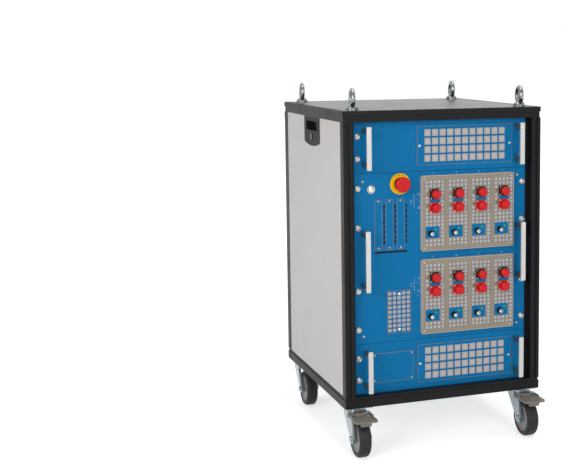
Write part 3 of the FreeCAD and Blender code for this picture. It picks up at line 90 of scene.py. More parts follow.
def solids_of(name):
    """The boxes of a node's separate solids, found by following shared corners from face to face."""
    mesh = bmesh.new()
    mesh.from_mesh(nodes[name].data)
    bmesh.ops.remove_doubles(mesh, verts=mesh.verts, dist=1e-6)
    left = set(mesh.verts)
    boxes = []
    while left:
        queue = [left.pop()]
        found = []
        while queue:
            vertex = queue.pop()
            found.append(vertex.co.copy())
            for edge in vertex.link_edges:
                other = edge.other_vert(vertex)
                if other in left:
                    left.remove(other)
                    queue.append(other)
        points = np.array(found)
        boxes.append((points.min(0), points.max(0)))
    mesh.free()
    return boxes


black_boxes = solids_of("black_sockets")
red_boxes = solids_of("red_sockets")
signal_boxes = solids_of("bnc_connectors")
bar_boxes = solids_of("handle_bars")
grille_boxes = solids_of("filter_grilles")
print("front face at y =", round(face, 4), "- sockets:", len(black_boxes) + len(red_boxes))

# %% [markdown]
# Screws, rings and marks are all surfaces over a grid of two parameters. Each one could be built
# from primitives and booleans, which leaves messy faces. A grid of points worked out by a formula
# is cleaner: numpy gives all the points at once, and one rule joins them into quads.

# %% A surface from a grid of points
SHARP_ANGLE = 40


def quads(rows, columns, start, closed):
    """Corner numbers of a grid's quads, its columns closed into a loop or left open.

    A quad's corners are (i, j), (i, j + 1), (i + 1, j + 1) and (i + 1, j).
    """
    i, j = np.meshgrid(np.arange(rows - 1), np.arange(columns if closed else columns - 1), indexing="ij")
    following = (j + 1) % columns
    near, far = i * columns, (i + 1) * columns
    return start + np.stack([near + j, near + following, far + following, far + j], -1).reshape(-1, 4)


def add_piece(name, grids, closed=True):
    """One mesh object from several grids of points, each of shape (rows, columns, 3), in metres."""
    points = []
    faces = []
    start = 0
    for grid in grids:
        rows, columns = grid.shape[:2]
        points.append(grid.reshape(-1, 3))
        faces.append(quads(rows, columns, start, closed))
        start += rows * columns
    return put_mesh(name, np.concatenate(points), np.concatenate(faces))


def put_mesh(name, points, faces):
    """A smooth-shaded mesh object from an array of points and an array of quads."""
    mesh = bpy.data.meshes.new(name)
    mesh.vertices.add(len(points))
    mesh.vertices.foreach_set("co", np.asarray(points, np.float32).ravel())
    mesh.loops.add(faces.size)
    mesh.loops.foreach_set("vertex_index", faces.ravel().astype(np.int32))
    mesh.polygons.add(len(faces))
    mesh.polygons.foreach_set("loop_start", np.arange(0, faces.size, 4, dtype=np.int32))
    mesh.update(calc_edges=True)
    tidy = bmesh.new()
    tidy.from_mesh(mesh)
    bmesh.ops.remove_doubles(tidy, verts=tidy.verts, dist=1e-7)
    tidy.to_mesh(mesh)
    tidy.free()
    mesh.shade_smooth()
    mesh.set_sharp_from_angle(angle=math.radians(SHARP_ANGLE))
    piece = bpy.data.objects.new(name, mesh)
    bpy.context.scene.collection.objects.link(piece)
    return piece


# %% Directions that a turned piece can face
# Each is two directions across the piece and one out of it, so that across x up = out.
TO_FRONT = np.array([[1, 0, 0], [0, 0, 1], [0, -1, 0]], float)
TO_BACK = np.array([[-1, 0, 0], [0, 0, 1], [0, 1, 0]], float)
TO_FLOOR = np.array([[1, 0, 0], [0, -1, 0], [0, 0, -1]], float)
TO_RIGHT = np.array([[0, 1, 0], [0, 0, 1], [1, 0, 0]], float)
TO_LEFT = np.array([[0, -1, 0], [0, 0, 1], [-1, 0, 0]], float)


def turned(profile, at, facing=TO_FRONT, steps=24, recess=None):
    """A surface of revolution, in millimetres about the point at, in metres.

    A point of the profile (r, h) at angle a lies at at + r cos a across + r sin a up + h out. Where a
    recess is given, recess(x, y) is taken off h.
    """
    radius, height = np.array(profile, float).T
    angle = np.linspace(0, 2 * math.pi, steps, endpoint=False)
    x = radius[:, None] * np.cos(angle)
    y = radius[:, None] * np.sin(angle)
    h = np.repeat(height[:, None], steps, axis=1)
    if recess is not None:
        h = h - recess(x, y)
    local = np.stack([x, y, h], -1) * MM
    return np.asarray(at, float) + local @ facing


def rounded_plate(at, width, height, corner, profile, facing=TO_FRONT, steps=4):
    """A rounded rectangle in rings, in millimetres about the point at, in metres.

    At angle a the outline is (sx (width / 2 - corner) + corner cos a, sy (height / 2 - corner) +
    corner sin a), where sx and sy are the quadrant's signs. A point (k, h) of the profile is k times
    that, h out.
    """
    quarter = np.linspace(0, math.pi / 2, steps)
    angle = np.concatenate([quarter + turn * math.pi / 2 for turn in range(4)])
    sx = np.repeat([1, -1, -1, 1], steps)
    sy = np.repeat([1, 1, -1, -1], steps)
    edge = np.stack([sx * (width / 2 - corner) + corner * np.cos(angle),
                     sy * (height / 2 - corner) + corner * np.sin(angle)], -1)
    scale, rise = np.array(profile, float).T
    flat = scale[:, None, None] * edge
    local = np.concatenate([flat, np.broadcast_to(rise[:, None, None], flat.shape[:2] + (1,))], -1)
    return np.asarray(at, float) + local * MM @ facing


def outline_rings(at, width, height, corner, rings, facing=TO_FRONT):
    """Rounded rectangles one after another, each a little larger or smaller and higher, in millimetres.

    A ring (out, h) is the outline moved outwards by out and raised by h.
    """
    return np.concatenate([
        rounded_plate(at, width + 2 * out, height + 2 * out, corner + out, [(1, h)], facing)
        for out, h in rings])


def cross(width, reach, depth):
    """A Phillips recess: two bars of that half width and reach, with sloping walls, cut to a depth."""
    def shape(x, y):
        wide = np.clip((width * 1.6 - np.abs(np.stack([x, y]))) / (width * 0.9), 0, 1)
        long = np.clip((reach - np.abs(np.stack([y, x]))) / (reach * 0.35), 0, 1)
        return depth * (wide * long).max(0)
    return shape


def slotted(width, depth):
    """A straight screwdriver slot of that half width across the head."""
    return lambda x, y: depth * np.clip((width * 1.5 - np.abs(x)) / (width * 0.6), 0, 1)


def pan_head(radius, height, rings=7):
    """The profile of a pan head: a short wall, then a quarter of an ellipse in to the centre."""
    angle = np.linspace(0, math.pi / 2, rings)
    wall = height * 0.4
    dome = np.stack([radius * np.cos(angle), wall + (height - wall) * np.sin(angle)], -1)
    return np.concatenate([[[radius, 0]], dome])


def spot(x, z, y=None):
    """A point on the front panels, or at another depth y."""
    return (x, face if y is None else y, z)


# %% [markdown]
# A finish is more than a colour. Powder coat has a fine pebbled skin, rolled steel has streaks
# along one direction, a moulding has a light grain, and anything handled picks up soft smudges.
# These effects are wanted by many materials, so each one is a node group with its own inputs.
# The groups read Object coordinates, which stay with a piece when a joint moves it.

# %% Helpers for node groups
def new_group(name, inputs, outputs):
    """A node group with float inputs (name, value) and float outputs, and its two end nodes."""
    group = bpy.data.node_groups.new(name, "ShaderNodeTree")
    for label, value in inputs:
        socket = group.interface.new_socket(label, in_out="INPUT", socket_type="NodeSocketFloat")
        socket.default_value = value
    for label in outputs:
        group.interface.new_socket(label, in_out="OUTPUT", socket_type="NodeSocketFloat")
    return group, group.nodes.new("NodeGroupInput"), group.nodes.new("NodeGroupOutput")


def math_node(tree, operation, first, second):
    """first (+, -, *, ...) second, where each is a socket or a number."""
    node = tree.nodes.new("ShaderNodeMath")
    node.operation = operation
    for socket, value in zip(node.inputs, (first, second)):
        if isinstance(value, (int, float)):
            socket.default_value = value
        else:
            tree.links.new(value, socket)
    return node.outputs[0]


def stretched(tree, scale, stretch):
    """Object coordinates times a scale socket, and stretched by three factors."""
    place = tree.nodes.new("ShaderNodeTexCoord").outputs["Object"]
    factor = tree.nodes.new("ShaderNodeCombineXYZ")
    for socket, amount in zip(factor.inputs, stretch):
        tree.links.new(math_node(tree, "MULTIPLY", scale, amount), socket)
    product = tree.nodes.new("ShaderNodeVectorMath")
    product.operation = "MULTIPLY"
    tree.links.new(place, product.inputs[0])
    tree.links.new(factor.outputs[0], product.inputs[1])
    return product.outputs[0]


def noise(tree, vector, detail, roughness=0.55):
    node = tree.nodes.new("ShaderNodeTexNoise")
    node.inputs["Scale"].default_value = 1
    node.inputs["Detail"].default_value = detail
    node.inputs["Roughness"].default_value = roughness
    tree.links.new(vector, node.inputs["Vector"])
    return node.outputs["Fac"]


def contrast(tree, value, low, high):
    """The value spread so that low becomes 0 and high becomes 1."""
    node = tree.nodes.new("ShaderNodeMapRange")
    node.inputs["From Min"].default_value = low
    node.inputs["From Max"].default_value = high
    tree.links.new(value, node.inputs["Value"])
    return node.outputs["Result"]


# %% Powder coat, streaked steel, moulded grain, woven mesh and smudges
def make_skin(name, stretch, detail, roughness, low, high):
    """A noise skin: Height is the noise itself, and Tone the same noise spread to the full range."""
    group, given, result = new_group(name, [("Scale", 900)], ["Height", "Tone"])
    value = noise(group, stretched(group, given.outputs["Scale"], stretch), detail, roughness)
    group.links.new(value, result.inputs["Height"])
    group.links.new(contrast(group, value, low, high), result.inputs["Tone"])
    return group


def make_weave():
    """Two sets of wires: height is the larger of |sin| along X and |sin| along Z, tone marks the wires."""
    group, given, result = new_group("woven_mesh", [("Scale", 2600)], ["Height", "Tone"])
    split = group.nodes.new("ShaderNodeSeparateXYZ")
    group.links.new(stretched(group, given.outputs["Scale"], (1, 1, 1)), split.inputs[0])
    waves = []
    for axis in "XZ":
        wave = math_node(group, "SINE", split.outputs[axis], 0)
        waves.append(math_node(group, "ABSOLUTE", wave, 0))
    height = math_node(group, "MAXIMUM", *waves)
    group.links.new(height, result.inputs["Height"])
    group.links.new(contrast(group, height, 0.45, 0.85), result.inputs["Tone"])
    return group


def make_smudges():
    """Soft patches a hand or a cloth leaves: broad noise, thinned by a second one."""
    group, given, result = new_group("handling_marks", [("Scale", 9)], ["Mask"])
    broad = noise(group, stretched(group, given.outputs["Scale"], (1, 1, 0.7)), 3)
    fine = noise(group, stretched(group, given.outputs["Scale"], (6, 6, 3)), 4)
    mask = math_node(group, "MULTIPLY", contrast(group, broad, 0.42, 0.7), contrast(group, fine, 0.3, 0.75))
    group.links.new(mask, result.inputs["Mask"])
    return group


skins = {
    "powder": make_skin("powder_coat", (1, 1, 1), 3, 0.6, 0.35, 0.65),
    "across": make_skin("streaks_across", (0.02, 1, 1), 4, 0.6, 0.3, 0.7),
    "upright": make_skin("streaks_upright", (1, 1, 0.02), 4, 0.6, 0.3, 0.7),
    "moulded": make_skin("moulded_grain", (1, 1, 1), 2, 0.5, 0.4, 0.6),
    "cast": make_skin("rolled_and_plated", (1, 1, 1), 6, 0.7, 0.3, 0.7),
    "weave": make_weave(),
}
smudges = make_smudges()
print("texture groups:", ", ".join(skins))

# %% [markdown]
# Every material has the same build: two tones of one colour mixed by a skin, a roughness that
# the smudges raise or lower, and a bump from the skin's height. A Bevel node rounds the edges in
# the shading, as paint and tumbling do on real sheet metal, with no extra faces on the CAD mesh.

# %% One recipe for every finish
materials = {}


def finish(slot, light, dark, skin, scale, rough, bump, metal=0.0, edge=0.5, coat=0.0, wipe=9.0,
           glow=None, shine=0.5):
    """A material from two linear colours, a skin and its scale, a roughness range and a bump.

    The bump and the edge's rounding are in millimetres. Shine is the specular level of a paint.
    """
    material = bpy.data.materials.new(slot)
    material.use_nodes = True
    tree = material.node_tree
    shader = tree.nodes["Principled BSDF"]
    shader.inputs["Metallic"].default_value = metal
    shader.inputs["Specular IOR Level"].default_value = shine
    shader.inputs["Coat Weight"].default_value = coat
    shader.inputs["Coat Roughness"].default_value = 0.12
    texture = tree.nodes.new("ShaderNodeGroup")
    texture.node_tree = skins[skin]
    texture.inputs["Scale"].default_value = scale
    marks = tree.nodes.new("ShaderNodeGroup")
    marks.node_tree = smudges
    marks.inputs["Scale"].default_value = wipe
    colour = tree.nodes.new("ShaderNodeMix")
    colour.data_type = "RGBA"
    colour.inputs["A"].default_value = (*light, 1)
    colour.inputs["B"].default_value = (*dark, 1)
    tree.links.new(texture.outputs["Tone"], colour.inputs["Factor"])
    tree.links.new(colour.outputs["Result"], shader.inputs["Base Color"])
    spread = tree.nodes.new("ShaderNodeMapRange")
    spread.inputs["To Min"].default_value, spread.inputs["To Max"].default_value = rough
    tree.links.new(marks.outputs["Mask"], spread.inputs["Value"])
    tree.links.new(spread.outputs["Result"], shader.inputs["Roughness"])
    relief = tree.nodes.new("ShaderNodeBump")
    relief.inputs["Distance"].default_value = bump * MM
    relief.inputs["Strength"].default_value = 0.6
    tree.links.new(texture.outputs["Height"], relief.inputs["Height"])
    if edge:
        rounding = tree.nodes.new("ShaderNodeBevel")
        rounding.samples = 6
        rounding.inputs["Radius"].default_value = edge * MM
        tree.links.new(rounding.outputs[0], relief.inputs["Normal"])
    tree.links.new(relief.outputs[0], shader.inputs["Normal"])
    if glow:
        shader.inputs["Emission Color"].default_value = (*light, 1)
        shader.inputs["Emission Strength"].default_value = glow
    materials[slot] = material


# %% Painted sheet
finish("frame_paint", (0.0075, 0.0075, 0.008), (0.015, 0.015, 0.016), "powder", 1400,
       (0.42, 0.58), 0.05, edge=0.9, shine=0.12)
finish("cover_paint", (0.052, 0.051, 0.052), (0.074, 0.073, 0.074), "powder", 1400,
       (0.30, 0.44), 0.04, edge=0.6, shine=0.45)
finish("side_paint", (0.62, 0.593, 0.575), (0.575, 0.55, 0.532), "powder", 1100,
       (0.42, 0.58), 0.06, edge=0.8, shine=0.3)
finish("blue_paint", (0.003, 0.170, 0.400), (0.002, 0.149, 0.360), "powder", 1700,
       (0.42, 0.54), 0.03, edge=0.5, shine=0.10)

# %% Bare and plated metal
finish("case_steel", (0.52, 0.53, 0.54), (0.34, 0.35, 0.36), "cast", 160,
       (0.32, 0.5), 0.04, metal=1.0)
finish("plate_steel", (0.275, 0.235, 0.188), (0.205, 0.174, 0.136), "across", 1500,
       (0.36, 0.48), 0.02, metal=0.6, edge=0.6, shine=0.3)
finish("filter_mesh", (0.30, 0.255, 0.225), (0.57, 0.510, 0.465), "weave", 1500,
       (0.45, 0.6), 0.4, edge=0, shine=0.3)
finish("zinc", (0.44, 0.50, 0.53), (0.27, 0.32, 0.35), "cast", 260,
       (0.24, 0.40), 0.05, metal=0.9, edge=0.5)
finish("eye_steel", (0.34, 0.36, 0.365), (0.10, 0.11, 0.115), "cast", 120,
       (0.18, 0.32), 0.08, metal=1.0, edge=0.6)
finish("nickel", (0.78, 0.765, 0.73), (0.36, 0.345, 0.32), "cast", 500,
       (0.16, 0.28), 0.01, metal=1.0, edge=0.3)
finish("warm_steel", (0.56, 0.44, 0.35), (0.34, 0.25, 0.19), "cast", 500,
       (0.24, 0.36), 0.01, metal=0.9, edge=0.2)
finish("handle_silver", (0.62, 0.605, 0.585), (0.53, 0.52, 0.50), "upright", 1600,
       (0.36, 0.46), 0.02, metal=0.35, edge=0.6)
# A darker copy of the handles' aluminium for their posts: painted shade.
finish("handle_post_shade", (0.30, 0.30, 0.295), (0.21, 0.21, 0.207), "cast", 700,
       (0.30, 0.42), 0.02, metal=0.9, edge=0.6)
# A lighter copy of the plate steel for the socket plates' edges: a painted highlight.
finish("plate_edge_highlight", (0.70, 0.64, 0.59), (0.60, 0.545, 0.50), "upright", 1500,
       (0.36, 0.48), 0.02, metal=0.4, edge=0.3)
# Dark finish of the locks, also used for the painted shade ring of the power button.
finish("lock_dark_and_gap_shade", (0.030, 0.030, 0.032), (0.018, 0.018, 0.019), "cast", 500,
       (0.34, 0.46), 0.02, metal=0.3, edge=0.3, shine=0.3)
print("paint and metal finishes:", len(materials))

# %% Plastics and rubber
finish("black_plastic", (0.008, 0.008, 0.009), (0.015, 0.015, 0.017), "moulded", 1600,
       (0.56, 0.70), 0.05, edge=0.5, shine=0.14)
finish("screen_pale", (0.45, 0.48, 0.54), (0.56, 0.59, 0.65), "weave", 1700,
       (0.5, 0.6), 0.3, edge=0, shine=0.3)
finish("red_plastic", (0.66, 0.010, 0.013), (0.58, 0.008, 0.010), "moulded", 700,
       (0.26, 0.38), 0.02, edge=0.5, shine=0.22)
finish("yellow_plastic", (0.98, 0.52, 0.003), (0.92, 0.46, 0.003), "moulded", 900,
       (0.34, 0.48), 0.03, edge=0.5, shine=0.15)
finish("green_lens", (0.010, 0.30, 0.060), (0.008, 0.23, 0.045), "moulded", 900,
       (0.12, 0.2), 0.02, edge=0, coat=0.4, glow=0.12)
finish("tyre_rubber", (0.014, 0.0155, 0.0155), (0.023, 0.024, 0.023), "moulded", 500,
       (0.52, 0.74), 0.15, edge=0.8, wipe=30, shine=0.25)
finish("hub_plastic", (0.270, 0.262, 0.256), (0.225, 0.219, 0.213), "moulded", 900,
       (0.40, 0.55), 0.05, edge=0.8, shine=0.4)
finish("pedal_plastic", (0.225, 0.201, 0.168), (0.185, 0.164, 0.137), "moulded", 900,
       (0.42, 0.58), 0.08, edge=1.0, shine=0.3)
print("all finishes:", len(materials))

# %% Inks and mouldings of one piece each
finish("print_white", (0.74, 0.77, 0.80), (0.66, 0.69, 0.72), "moulded", 800,
       (0.45, 0.6), 0.01, edge=0, shine=0.3)
finish("print_dark", (0.030, 0.028, 0.026), (0.045, 0.042, 0.038), "moulded", 800,
       (0.45, 0.6), 0.01, edge=0, shine=0.3)
finish("arrow_red", (0.40, 0.008, 0.012), (0.34, 0.006, 0.010), "moulded", 700,
       (0.3, 0.4), 0.02, edge=0, shine=0.3)
print("with inks:", len(materials))

# %% Give every CAD piece its finish
# The handle posts take the darker copy of the handles' aluminium, as painted shade.
OWN_FINISH = {"handle_posts": "handle_post_shade", "lock_left": "lock_dark_and_gap_shade", "lock_right": "lock_dark_and_gap_shade"}
for entry in frame["record"]["subparts"]:
    mesh = nodes[entry["node"]].data
    mesh.materials.clear()
    mesh.materials.append(materials[OWN_FINISH.get(entry["node"], entry["material_slot"])])


def dress(piece, slot, body="cabinet"):
    """Finish a new piece and let it ride on a body."""
    piece.data.materials.append(materials[slot])
    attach(piece, body)
    print(piece.name, len(piece.data.polygons), "faces")
    return piece


# %% [markdown]
# The rack screws sit in cup washers and have Phillips heads. The CAD solid has the head's outline
# but no recess, because a recess that small has no part in motion or fit. Here one grid per screw
# carries the rolled cup, the head's dome and the cross, so it takes the CAD screw's place.

# %% Rack screws with cup washers
cup = [(3.0, 0.02), (8.0, 0.02), (8.1, 0.8), (7.7, 1.9), (6.9, 2.4), (6.1, 2.0), (5.6, 1.3), (5.2, 1.25)]
dome = [(5.2, 2.3), (4.9, 3.2), (4.2, 3.85), (3.4, 4.15), (2.7, 4.3), (2.1, 4.35), (1.5, 4.4), (1.0, 4.4),
        (0.5, 4.4), (0, 4.4)]
screw_boxes = solids_of("rack_screws")
rack_points = [spot((low[0] + high[0]) / 2, (low[2] + high[2]) / 2) for low, high in screw_boxes]
head_cross = cross(0.75, 3.4, 2.0)
rack_grids = [turned(cup + dome, at, steps=32, recess=head_cross) for at in rack_points]
rack_screws = add_piece("rack_screw_heads", rack_grids)
dress(rack_screws, "nickel")
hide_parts("rack_screws")

# %% [markdown]
# Everything that lies flat on the front is held by small screws: the handles, the filter covers,
# the slot plates, the socket plates and the panel itself. They differ only in size and recess, so
# a list of places and one formula make them all.

# %% Small pan-head screws on the front
def corners(low, high, inset):
    """Four points set in from the corners of a box, seen from the front."""
    return [(x, z) for x in (low[0] + inset, high[0] - inset) for z in (low[2] + inset, high[2] - inset)]


def ends(low, high, inset):
    """Two points on a box's middle line, above and below."""
    middle = (low[0] + high[0]) / 2
    return [(middle, low[2] + inset), (middle, high[2] - inset)]


BAR_INSET, GRILLE_INSET, SLOT_INSET = 11.5 * MM, 7.0 * MM, 4.4 * MM
SERVICE_INSET, PLATE_INSET = 5.2 * MM, 8.0 * MM
small_cross = cross(0.42, 1.9, 1.1)
screws = []
warm_screws = []
for low, high in bar_boxes:
    screws += [turned(pan_head(3.6, 1.5), spot(x, z, low[1]), recess=small_cross)
               for x, z in ends(low, high, BAR_INSET)]
for low, high in grille_boxes:
    middle = (low[2] + high[2]) / 2
    screws += [turned(pan_head(3.4, 1.8), spot(x, middle, low[1]), recess=small_cross)
               for x in (low[0] + GRILLE_INSET, high[0] - GRILLE_INSET)]
slot_boxes = solids_of("slot_covers")
service_boxes = solids_of("service_cover")
for low, high in slot_boxes:
    warm_screws += [turned(pan_head(2.5, 1.2), spot(x, z, low[1]), recess=cross(0.3, 1.4, 0.8))
                    for x, z in ends(low, high, SLOT_INSET)]
for low, high in service_boxes:
    warm_screws += [turned(pan_head(2.5, 1.3), spot(x, z, low[1]), recess=cross(0.3, 1.4, 0.8))
                    for x, z in corners(low, high, SERVICE_INSET)]
for low, high in plate_boxes:
    warm_screws += [turned(pan_head(3.0, 1.4), spot(x, z, low[1]), recess=cross(0.35, 1.6, 0.9))
                    for x, z in corners(low, high, PLATE_INSET)]
EDGE_SCREW_SIDE = 218.5 * MM
EDGE_SCREW_RISE = 202 * MM
for x in (-EDGE_SCREW_SIDE, EDGE_SCREW_SIDE):
    for z in (main_middle - EDGE_SCREW_RISE, main_middle + EDGE_SCREW_RISE):
        warm_screws.append(turned(pan_head(3.2, 1.8), spot(x, z), recess=small_cross))
dress(add_piece("front_screws", screws), "nickel")
dress(add_piece("cover_screws", warm_screws), "warm_steel")

# %% Slotted screws that hold the small grille
low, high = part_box("small_grille")
slot_screws = add_piece("small_grille_screws", [
    turned(pan_head(4.4, 2.2), spot(x, z, low.y), recess=slotted(0.55, 1.1))
    for x, z in ends(low, high, 10.0 * MM)])
dress(slot_screws, "nickel")

# %% Four plain screws at the corners of each socket base
socket_screws = []
for low, high in black_boxes + red_boxes:
    base_face = high[1] - 4.0 * MM
    socket_screws += [turned(pan_head(1.7, 0.9, rings=4), spot(x, z, base_face), steps=12)
                      for x, z in corners(low, high, 2.9 * MM)]
dress(add_piece("socket_base_screws", socket_screws), "nickel")

# %% Screws on the back panel and under the casters
EDGE_INSET = 9 * MM
rear_low, rear_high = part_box("rear_panel")
rear_screws = []
for x in (rear_low.x + EDGE_INSET, 0, rear_high.x - EDGE_INSET):
    for z in (rear_low.z + EDGE_INSET, (rear_low.z + rear_high.z) / 2, rear_high.z - EDGE_INSET):
        on_edge = x != 0 or z < rear_low.z + 2 * EDGE_INSET or z > rear_high.z - 2 * EDGE_INSET
        if on_edge:
            rear_screws.append(turned(pan_head(3.6, 1.9), (x, rear_high.y, z), TO_BACK, recess=small_cross))
caster_bolts = []
for low, high in solids_of("caster_plates"):
    under = high[2] - 3.0 * MM
    caster_bolts += [turned(pan_head(4.6, 3.0), (x, y, under), TO_FLOOR, steps=20)
                     for x in (low[0] + EDGE_INSET, high[0] - EDGE_INSET)
                     for y in (low[1] + EDGE_INSET, high[1] - EDGE_INSET)]
dress(add_piece("rear_panel_screws", rear_screws), "nickel")
dress(add_piece("caster_bolts", caster_bolts), "zinc")

# %% [markdown]
# Behind the narrow vents of the main panel it is dark, so they read as bold black dashes. The steel
# chassis behind them would shine through. A thin black sheet sits in each opening, half a
# millimetre under the face, as painted shade of the dark inside. Black lips round each vent paint
# the same shade over its lit walls. A fine line of steel colour runs round each cover, a painted
# highlight of the light its edges catch.

# %% Black sheets in the vents, painted shade
DASH_COUNT, DASH_STEP, DASH_SIDE = 8, 13.3 * MM, 16.1 * MM
DASH_SIZE = (3.6, 9.4)
LONG_SLOT_X, LONG_SLOT_RISE, LONG_SLOT_SIZE = -142.3 * MM, 15.6 * MM, (89, 4.6)
SHADE_SHEET_GAP = 0.04
SHADE_SHEET = [(1, -2.0), (1, -0.7), (0, -0.7)]
vents = [(spot(LONG_SLOT_X, main_middle + LONG_SLOT_RISE), *LONG_SLOT_SIZE)]
for low, high in slot_boxes:
    x = (low[0] + high[0]) / 2 + DASH_SIDE
    z = (low[2] + high[2]) / 2 - DASH_STEP * (DASH_COUNT - 1) / 2
    vents += [(spot(x, z + step * DASH_STEP), *DASH_SIZE) for step in range(DASH_COUNT)]
# Each black sheet is painted shade: the inside of a vent is dark only by shade.
shade_sheets = [rounded_plate(at, width - SHADE_SHEET_GAP, height - SHADE_SHEET_GAP, 0.1, SHADE_SHEET, steps=2)
           for at, width, height in vents]
dress(add_piece("vent_shade_sheets", shade_sheets), "black_plastic")

# %% Black lips round the vents, painted shade on their walls
LIP_SHADE = [(0.45, 0), (0.4, 0.05), (0.05, 0.05), (-0.02, -0.6)]
# The black lips paint shade over the lit walls of each vent.
lip_shades = [outline_rings(at, width, height, 0.1, LIP_SHADE) for at, width, height in vents]
dress(add_piece("vent_lip_shade", lip_shades), "black_plastic")

# %% Painted highlight round the edges of the covers
RIM_OUT, RIM_LIFT, RIM_IN = 0.06, 0.04, -0.7
COVER_CORNER, PLATE_CORNER = 2.0, 3.0
edge_highlights = []
for low, high in grille_boxes + slot_boxes + service_boxes + solids_of("small_grille"):
    at = ((low[0] + high[0]) / 2, low[1], (low[2] + high[2]) / 2)
    width, wall, height = (high - low) / MM
    rings = [(RIM_OUT, -wall), (RIM_OUT, RIM_LIFT), (RIM_IN, RIM_LIFT)]
    edge_highlights.append(outline_rings(at, width, height, COVER_CORNER, rings))
# The steel colour round each cover is a painted highlight of its lit edges.
dress(add_piece("cover_edge_highlights", edge_highlights), "plate_steel")

# %% Painted highlight on the folded edges of the socket plates
PLATE_RINGS = [(0.06, -12.8), (0.06, 0.05), (-0.6, 0.05)]
plate_highlights = []
for low, high in plate_boxes:
    at = ((low.x + high.x) / 2, plate_face, (low.z + high.z) / 2)
    width, height = (high.x - low.x) / MM, (high.z - low.z) / MM
    # The lighter steel over the plates' sides is a painted highlight of their lit edges.
    plate_highlights.append(outline_rings(at, width, height, PLATE_CORNER, PLATE_RINGS))
dress(add_piece("socket_plate_highlights", plate_highlights), "plate_edge_highlight")

# %% [markdown]
# Each signal connector is a metal bayonet barrel on a black insulating ring, with two lugs that a
# plug's collar locks over. The barrel is CAD, because leads mate with it. The ring and the lugs
# are trim, turned here round the barrel's own axis.

# %% Bayonet rings and lugs
rings = []
lugs = []
for low, high in signal_boxes:
    x, z = (low[0] + high[0]) / 2, (low[2] + high[2]) / 2
    back = high[1]
    rings.append(turned([(7.45, 0), (7.7, 0.3), (7.7, 3.4), (7.2, 4.0), (5.3, 4.0), (5.0, 3.6), (4.85, 2.55)],
                        (x, back, z), steps=28))
    for side, facing in ((1, TO_RIGHT), (-1, TO_LEFT)):
        on_barrel = (x + side * 4.6 * MM, low[1] + 2.6 * MM, z)
        lugs.append(turned(pan_head(0.9, 1.0, rings=4), on_barrel, facing, steps=12))
dress(add_piece("bayonet_rings", rings), "black_plastic")
dress(add_piece("bayonet_lugs", lugs), "nickel")

# %% [markdown]
# The red caps have a rolled rim and a shallow dish in the face, which catches the light as a
# small highlight. The CAD cap is a plain cup. A thin turned face laid on it gives the dish its
# rim, and a ring of ribs round the side gives fingers something to pull.

# %% Dished faces and pull ribs on the socket caps
def ribbed_sleeve(at, radius, length, ribs=14, steps=112, rows=4, depth=0.35):
    """A sleeve whose radius is radius + depth * |cos(ribs a / 2)|^3, closed in at both ends."""
    angle = np.linspace(0, 2 * math.pi, steps, endpoint=False)
    along = np.linspace(0, 1, rows)
    swell = depth * np.abs(np.cos(ribs * angle / 2)) ** 3
    taper = np.sin(math.pi * along) ** 0.4
    r = radius + taper[:, None] * swell
    height = np.repeat((along * length)[:, None], steps, 1)
    local = np.stack([r * np.cos(angle), r * np.sin(angle), height], -1)
    return np.asarray(at) + local * MM @ TO_FRONT


dish = [(9.4, -0.6), (9.3, 0.05), (8.6, 0.45), (7.9, 0.35), (6.5, 0.12), (3.0, 0.06), (0, 0.06)]
cap_faces = []
cap_ribs = []
for low, high in solids_of("socket_caps"):
    x, z = (low[0] + high[0]) / 2, (low[2] + high[2]) / 2
    cap_faces.append(turned(dish, (x, low[1], z), steps=32))
    cap_ribs.append(ribbed_sleeve((x, high[1] - 1.0 * MM, z), 11.1, 10.5, rows=5, steps=84))
dress(add_piece("cap_faces", cap_faces), "red_plastic")
dress(add_piece("cap_ribs", cap_ribs), "red_plastic")

# %% [markdown]
# The emergency stop has three arrows moulded in its head, which show the way to twist it free.
# An arrow is a strip along an arc: its width swells to the arrow's barbs and falls to a point.

# %% Arrows on the emergency stop
def arc_strip(at, radius, start, sweep, height, width):
    """A strip along the arc from start to start + sweep degrees: at its share t, radius -+ width(t)."""
    t = np.linspace(0, 1, 28)
    angle = np.radians(start + sweep * t)
    r = radius + np.outer(np.array([1, -1]), width(t))
    local = np.stack([r * np.cos(angle), r * np.sin(angle), np.full(r.shape, height)], -1)
    return np.asarray(at) + local * MM @ TO_FRONT


def arrow_width(t):
    """Half the arrow's width: a shaft of 0.75, then barbs of 2.2 that fall to a point."""
    return np.where(t < 0.7, 0.75, 2.2 * (1 - (t - 0.7) / 0.3))


def even(t):
    """Half the width of a printed line."""
    return np.full(t.shape, 0.4)


def middle_of(low, high):
    return (low[0] + high[0]) / 2, (low[2] + high[2]) / 2


head_low, head_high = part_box("estop_head")
head_x, head_z = middle_of(head_low, head_high)
arrow_grids = [arc_strip(spot(head_x, head_z, head_low.y), 10.5, start, -78, 0.12, arrow_width)
               for start in (90, 210, 330)]
dress(add_piece("estop_arrows", arrow_grids, closed=False), "arrow_red", "estop_head")

# %% [markdown]
# The power button is a round steel plunger in a steel bezel. On the real one a dark gap between the
# two tells them apart. A thin dark ring, turned like the screws, lies on the bezel's inner edge as
# painted shade of that gap.

# %% Painted shade ring of the power button
button_low, button_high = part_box("button_bezel")
button_x, button_z = middle_of(button_low, button_high)
button_at = spot(button_x, button_z, button_low.y)
shadow_ring = turned([(8.9, -0.2), (8.9, 0.06), (7.5, 0.06), (7.5, -0.4)], button_at, steps=40)
dress(add_piece("button_shadow_ring", [shadow_ring]), "lock_dark_and_gap_shade")

